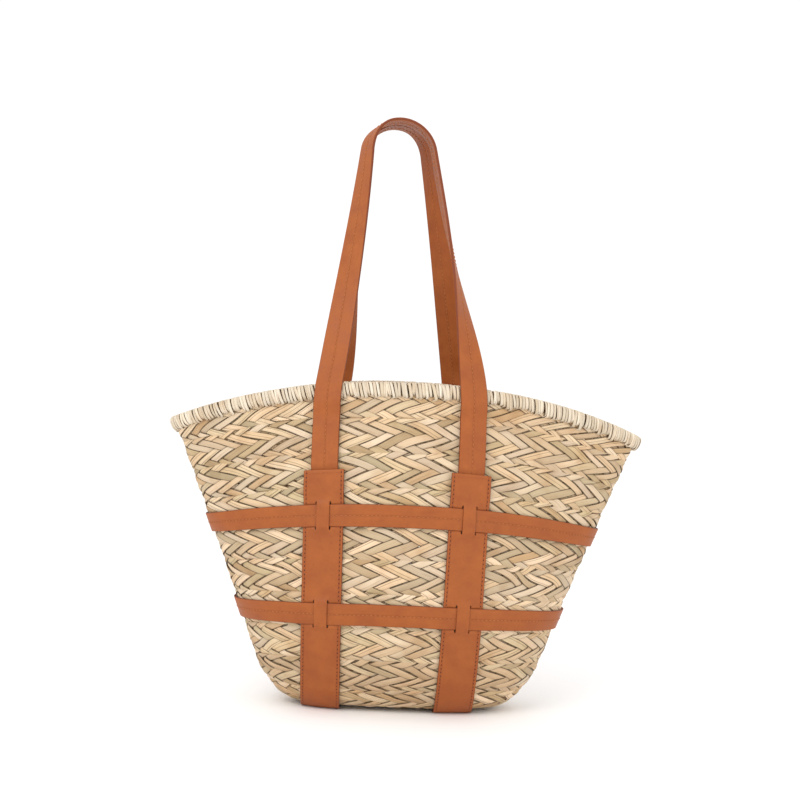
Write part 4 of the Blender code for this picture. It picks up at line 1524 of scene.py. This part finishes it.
@dataclass
class Handle:
    """A folded leather handle, sewn along its middle, flat at the rim and edge-on in its narrow arch."""

    way: Way
    width: float = 0.024
    thickness: float = 0.0030
    clearance: float = 0.0007
    rise: float = 0.2445
    arch_radii: tuple[float, float] = (0.0315, 0.0290)      # of the front and the back handle
    arch_turn: float = math.radians(5)
    arch_spread: float = math.radians(8)
    wall_slope: float = 0.09
    free_slopes: tuple[float, float] = (0.16, 0.12)         # of the left and the right legs, past the rim
    rim_spacings: tuple[float, float] = (0.127, 0.112)
    lean: float = -0.0110
    lean_power: float = 1.4
    arch_gap: float = 0.0015
    slow_twist: float = 0.95
    fast_twist: float = 2.4
    twist_left: float = math.radians(22)
    twist_end: float = math.radians(75)
    binding_height: float = 0.0160
    binding_stand_out: float = 0.0035
    rim_approach: float = 0.0140
    rim_climb: float = 0.0120
    shoulder: float = 0.004         # length of wall over which it comes down off the tail
    swell: float = 0.006            # length of wall over which it reaches its full thickness
    rim_turn_power: float = 10.0    # how soon past the rim a leg takes its own turn
    step: float = 0.0032
    close_step: float = 0.0013      # rows by the strap's top
    close_rows: tuple[int, int] = (-2, 14)
    bend: tuple[float, float] = (0.0005, 0.014)     # above the joint
    stitch_margin: float = 0.002    # past the sewn tails
    corner: float = 0.0011
    corner_turns: tuple[float, ...] = (60, 20, -20, -60)
    columns: tuple[float, ...] = (-0.72, -0.36, -0.06, 0.0, 0.06, 0.36, 0.72)
    seam_level: float = 0.985       # the sewn line is pulled in to this share of the thickness
    edge_level: float = 1.02
    radius: float = field(init=False)
    rim_spacing: float = field(init=False)      # between the two legs where they pass the rim
    top: float = field(init=False)
    along: Array = field(init=False)
    aside: Array = field(init=False)

    def __post_init__(self) -> None:
        """Picks the sizes of this handle and sets out its arch."""
        which = 0 if self.way is Way.FRONT else 1
        self.radius, self.rim_spacing = self.arch_radii[which], self.rim_spacings[which]
        self.top = WALL.height + WALL.base_lift + self.rise
        self.along = np.array([math.cos(self.arch_turn), math.sin(self.arch_turn), 0.0])
        self.aside = np.array([-math.sin(self.arch_turn), math.cos(self.arch_turn), 0.0])

    def lean_at(self, height: Array) -> Array:
        """Sideways lean at a height."""
        rim = self.top - self.rise
        return self.lean * (np.maximum(0.0, height - rim) / self.rise) ** self.lean_power

    def arch(self, hand: int, turn: Array) -> Array:
        """Centre line of the arch, from a turn of 0 on one side to pi on the other.

        Args:
            hand: -1 for the left, 1 for the right.
            turn: How far round the arch, in radians.

        Returns:
            The points.
        """
        height = self.top - self.thickness / 2 - self.radius * (1.0 - np.sin(turn))
        middle = np.stack([HARNESS.shift + self.lean_at(height), np.zeros_like(height), height], -1)
        return (middle + self.along * hand * self.radius * np.cos(turn)[:, None]
                + self.aside * self.way.value * (self.width + self.arch_gap) / 2)

    def leg_on_wall(self, hand: int, length: Array, share: Array, out: Array) -> Array:
        """Points of a leg where it lies on the wall and over the rim.

        Args:
            hand: -1 for the left leg.
            length: Length up the wall.
            share: Place across the leg, -1 to 1.
            out: Distance out from its middle layer.

        Returns:
            The points.
        """
        low = HARNESS.strap_x(hand, self.way.value, HARNESS.strap_top)
        rim = HARNESS.shift + hand * self.rim_spacing / 2
        free = WALL.length - HARNESS.strap_top
        x = curve_between(low, rim, 0.0, -hand * self.wall_slope * free, (length - HARNESS.strap_top) / free)
        x = np.where(length < HARNESS.strap_top, HARNESS.strap_x(hand, self.way.value, length), x)
        over = ease((length - (WALL.length - self.binding_height - self.rim_approach)) / self.rim_climb)
        shoulder = ease((length - HARNESS.strap_top) / self.shoulder)
        back = HARNESS.strap_clearance + (self.clearance - HARNESS.strap_clearance) * shoulder
        offset = back + self.body(length) / 2 + over * self.binding_stand_out
        angle = WALL.angle_at(x + share * self.width / 2, length, self.way.value)
        return WALL.off(angle, length, offset + out)

    def body(self, length: Array) -> Array:
        """Thickness of the handle, less where it is sewn under the strap."""
        grown = ease((length - HARNESS.strap_top) / self.swell)
        return HARNESS.tail_thickness + (self.thickness - HARNESS.tail_thickness) * grown

    def leg(self, hand: int) -> tuple[Array, Array, Array, Array, Array]:
        """A leg from its sewn foot to the start of the arch.

        Args:
            hand: -1 for the left, 1 for the right.

        Returns:
            For each row its middle, the directions across and out, its thickness, and how far its
            edges bow away from its middle.
        """
        foot = HARNESS.strap_top - HARNESS.tail_length
        count = math.ceil((WALL.length - foot) / self.step)
        length = foot + (WALL.length - foot) * np.arange(count + 1) / count
        dense = HARNESS.strap_top + np.arange(*self.close_rows) * self.close_step
        length = np.unique(np.round(np.concatenate([length, dense]), 7))
        zero = np.zeros_like(length)
        middle = self.leg_on_wall(hand, length, zero, zero)
        left = self.leg_on_wall(hand, length, zero - 1.0, zero)
        right = self.leg_on_wall(hand, length, zero + 1.0, zero)
        out = unit(self.leg_on_wall(hand, length, zero, zero + SKIN_STEP) - middle)
        across = (right - left) / self.width
        bow = (left + right) / 2 - middle
        thick = self.body(length)

        start, before = middle[-1], middle[-2]
        end = self.arch(hand, np.array([self.arch_spread]))[0]
        rise = end[2] - start[2]
        slope = (start[1] - before[1]) / (start[2] - before[2])
        steps = math.ceil(rise / self.step)
        share = np.arange(1, steps) / steps
        height = start[2] + rise * share
        free_slope = self.free_slopes[0] if hand < 0 else self.free_slopes[1]
        x = curve_between(start[0], end[0] - self.lean_at(end[2]), -hand * free_slope * rise,
                          -hand * math.tan(self.arch_spread) * rise, share) + self.lean_at(height)
        y = curve_between(start[1], end[1], rise * slope, 0.0, share)
        free = np.stack([x, y, height], -1)
        full = math.pi / 2 - hand * self.way.value * self.arch_turn
        if hand == self.way.value:
            turn = (full - self.twist_left) * share ** self.slow_twist
        else:
            turn = full * (1.0 - (1.0 - share) ** self.fast_twist)
        at_rim = math.atan2(hand * out[-1][0], self.way.value * out[-1][1])
        turn = turn + at_rim * (1.0 - share) ** self.rim_turn_power
        facing = np.stack([hand * np.sin(turn), self.way.value * np.cos(turn), np.zeros_like(turn)], -1)
        path = np.vstack([start, free, end])
        run = unit(path[2:] - path[:-2])
        facing = unit(facing - run * (facing * run).sum(-1, keepdims=True))
        over = np.cross(facing, run)
        over *= agreeing(across[-1], over[0])
        flattening = bow[-1] * (1.0 - ease(share * self.rim_turn_power))[:, None]
        return (np.vstack([middle, free]), np.vstack([across, over]), np.vstack([out, facing]),
                np.concatenate([thick, np.full(len(free), self.thickness)]), np.vstack([bow, flattening]))

    def rows(self) -> tuple[Array, Array, Array, Array, Array]:
        """Every row from the left foot, over the arch, to the right foot.

        Returns:
            For each row what leg gives: middle, across, out, thickness and bow.
        """
        left, right = self.leg(-1), self.leg(1)
        sweep = math.pi - 2 * self.arch_spread
        count = math.ceil(sweep * self.radius / self.step) + 1
        turn = self.arch_spread + sweep * np.linspace(0.0, 1.0, count)
        middle = self.arch(-1, turn)
        from_slow = turn if self.way is Way.FRONT else math.pi - turn
        untwisted = ease((from_slow - self.arch_spread) / (self.twist_end - self.arch_spread))
        bank = self.twist_left * (1.0 - untwisted)
        out = np.stack([np.zeros_like(turn), np.zeros_like(turn), np.sin(turn)], -1)
        out = out - self.along * np.cos(turn)[:, None]
        out = out * np.cos(bank)[:, None] + self.aside * self.way.value * np.sin(bank)[:, None]
        run = unit(np.gradient(middle, axis=0))
        out = unit(out - run * (out * run).sum(-1, keepdims=True))
        across = np.cross(out, run)
        across *= agreeing(left[1][-1], across[0])
        arch = (middle, across, out, np.full(len(middle), self.thickness), np.zeros_like(middle))
        turned = [part[::-1].copy() for part in right]
        turned[1] *= agreeing(across[-1], turned[1][0])
        return tuple(np.concatenate(parts) for parts in zip(left, arch, turned))

    def section(self) -> Array:
        """Corners of the section as share across, and share of the thickness out.

        Returns:
            The corners in order.
        """
        shape = []
        half, corner = self.width / 2, self.corner
        for sign in (1, -1):
            for share in self.columns:
                shape.append((share * sign, 0.5 * sign * (self.seam_level if share == 0.0 else 1.0)))
            for turn in self.corner_turns:
                reach = half - corner + corner * math.cos(math.radians(turn))
                out = 0.5 * sign * math.sin(math.radians(turn)) * self.edge_level
                shape.append((reach / half * sign, out))
        return np.array(shape)

    def build(self, finish: bpy.types.Material, thread: bpy.types.Material) -> None:
        """Lays and sews the handle.

        Args:
            finish: The leather.
            thread: The thread.
        """
        middle, across, out, thick, bow = self.rows()
        shape = self.section()
        walked = distances(middle)

        def skin(rows: Array, share: Array, body: Array) -> Array:
            """Points at a share across and a share of the thickness out."""
            return (middle[rows] + across[rows] * (share * self.width / 2)[:, None]
                    + bow[rows] * (share * share)[:, None] + out[rows] * (body * thick[rows])[:, None])

        bm = Sweep(len(middle), len(shape)).build(
            lambda rows, columns: skin(rows, shape[columns, 0], shape[columns, 1]),
            lambda rows, columns: np.stack([walked[np.minimum(rows, len(walked) - 1)],
                                            shape[columns % len(shape), 0] * self.width / 2], -1))
        side = self.way.name.lower()
        sewn = bmesh.new()

        def path(face: float) -> Row:
            """The row of stitches along the middle of one face."""
            def line(along: Array) -> tuple[Array, Array]:
                """Points and directions along it."""
                low = np.clip(np.searchsorted(walked, along) - 1, 0, len(walked) - 2)
                part = ((along - walked[low]) / (walked[low + 1] - walked[low]))[:, None]
                zero = np.zeros(len(along))
                first, second = skin(low, zero, zero + 0.5 * face), skin(low + 1, zero, zero + 0.5 * face)
                return first + (second - first) * part, out[low] * face
            return line

        start = HARNESS.tail_length + self.stitch_margin
        for face in (1.0, -1.0):
            Stitching().add(sewn, path(face), start, walked[-1] - start)
        piece = to_piece(bm, f"{side}_handle_leather", finish)
        stitches = to_piece(sewn, f"{side}_handle_stitches", thread, NO_CREASE)
        for made in (piece, stitches):
            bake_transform(made)
        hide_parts(f"{side}_handle", f"{side}_left_tail", f"{side}_right_tail")
        log.info("%s: %d faces", piece.name, len(piece.data.polygons))


# ==== The studio ==========================================================================================
@dataclass(frozen=True)
class SoftLight:
    """A soft square light that faces the bag."""

    name: str
    place: tuple[float, float, float]
    size: float
    power: float

    def build(self, aim: Vector) -> None:
        """Hangs the light and turns it to a place.

        Args:
            aim: The place that it faces.
        """
        data = bpy.data.lights.new(self.name, "AREA")
        data.size = self.size
        data.energy = self.power
        made = bpy.data.objects.new(self.name, data)
        made.location = self.place
        made.rotation_euler = (aim - Vector(self.place)).to_track_quat("-Z", "Y").to_euler()
        bpy.context.scene.collection.objects.link(made)


@dataclass
class Studio:
    """A pale floor, an even white surround, soft light from both sides and the camera."""

    distance: float = 1.300
    height: float = 0.286
    aside: float = -0.0075
    swing: float = math.radians(2.0)
    roll: float = math.radians(2.5)
    lens: float = 62.2
    sensor: float = 36.0
    sight: float = 50.0
    floor_reach: float = 6.0
    surround: float = 1.06
    aim: tuple[float, float, float] = (0.0, 0.0, 0.25)
    lights: tuple[SoftLight, ...] = (SoftLight("key", (-0.9, -1.5, 1.6), 1.3, 16.0),
                                     SoftLight("fill", (1.3, -1.3, 0.9), 1.0, 4.0))

    def build(self) -> None:
        """Sets the studio up."""
        scene = bpy.context.scene
        scene.view_settings.view_transform = "Standard"
        world = bpy.data.worlds.new("white_surround")
        world.use_nodes = True
        background = world.node_tree.nodes["Background"]
        background.inputs["Color"].default_value = srgb("FFFFFF")
        background.inputs["Strength"].default_value = self.surround
        scene.world = world
        self.floor()
        for light in self.lights:
            light.build(Vector(self.aim))
        self.camera()

    def floor(self) -> None:
        """A wide pale board under the bag."""
        bm = bmesh.new()
        bmesh.ops.create_grid(bm, x_segments=8, y_segments=8, size=self.floor_reach)
        floor = to_piece(bm, "studio_floor", PaleFloor().make())

    def camera(self) -> None:
        """The camera, level and a little rolled."""
        data = bpy.data.cameras.new("camera")
        data.lens = self.lens
        data.sensor_width = self.sensor
        data.clip_end = self.sight
        made = bpy.data.objects.new("camera", data)
        centre = Vector((self.aside, 0.0, self.height))
        away = Vector((-math.sin(self.swing), -math.cos(self.swing), 0.0)) * self.distance
        turn = (-away).to_track_quat("-Z", "Y").to_matrix().to_4x4() @ Matrix.Rotation(self.roll, 4, "Z")
        made.matrix_world = Matrix.Translation(centre + away) @ turn
        bpy.context.scene.collection.objects.link(made)
        bpy.context.scene.camera = made


def main() -> None:
    """Builds the bag and the studio."""
    logging.basicConfig(level=logging.INFO, format="%(name)s: %(message)s")
    Studio().build()
    Basket().build()
    Rim().build()
    thread = Thread().make()
    pale_thread = Thread(name="polyester_thread_pale", colour="C27A48").make()
    strap = Leather(name="cowhide_tan_strap", groove=HARNESS.strap_width / 2 - STITCH_INSET).make()
    belt = Leather(name="cowhide_tan_belt", half_width=HARNESS.belt_width / 2, hole_shade_strength=0.12).make()
    handle = Leather(name="cowhide_tan_handle", half_width=Handle.width / 2, hole_shade_strength=0.12).make()
    paint = Leather(name="cowhide_edge_paint", colour="7A3512", pale="82391A", deep="6A2D14").make()
    for hand in Hand:
        WideStrap(hand).build(strap, paint, thread)
    for name, middle in zip(("lower_belt", "upper_belt"), HARNESS.belts):
        Belt(name, middle).build(belt, pale_thread)
    for way in Way:
        Handle(way).build(handle, pale_thread)


if __name__ == "__main__":
    main()
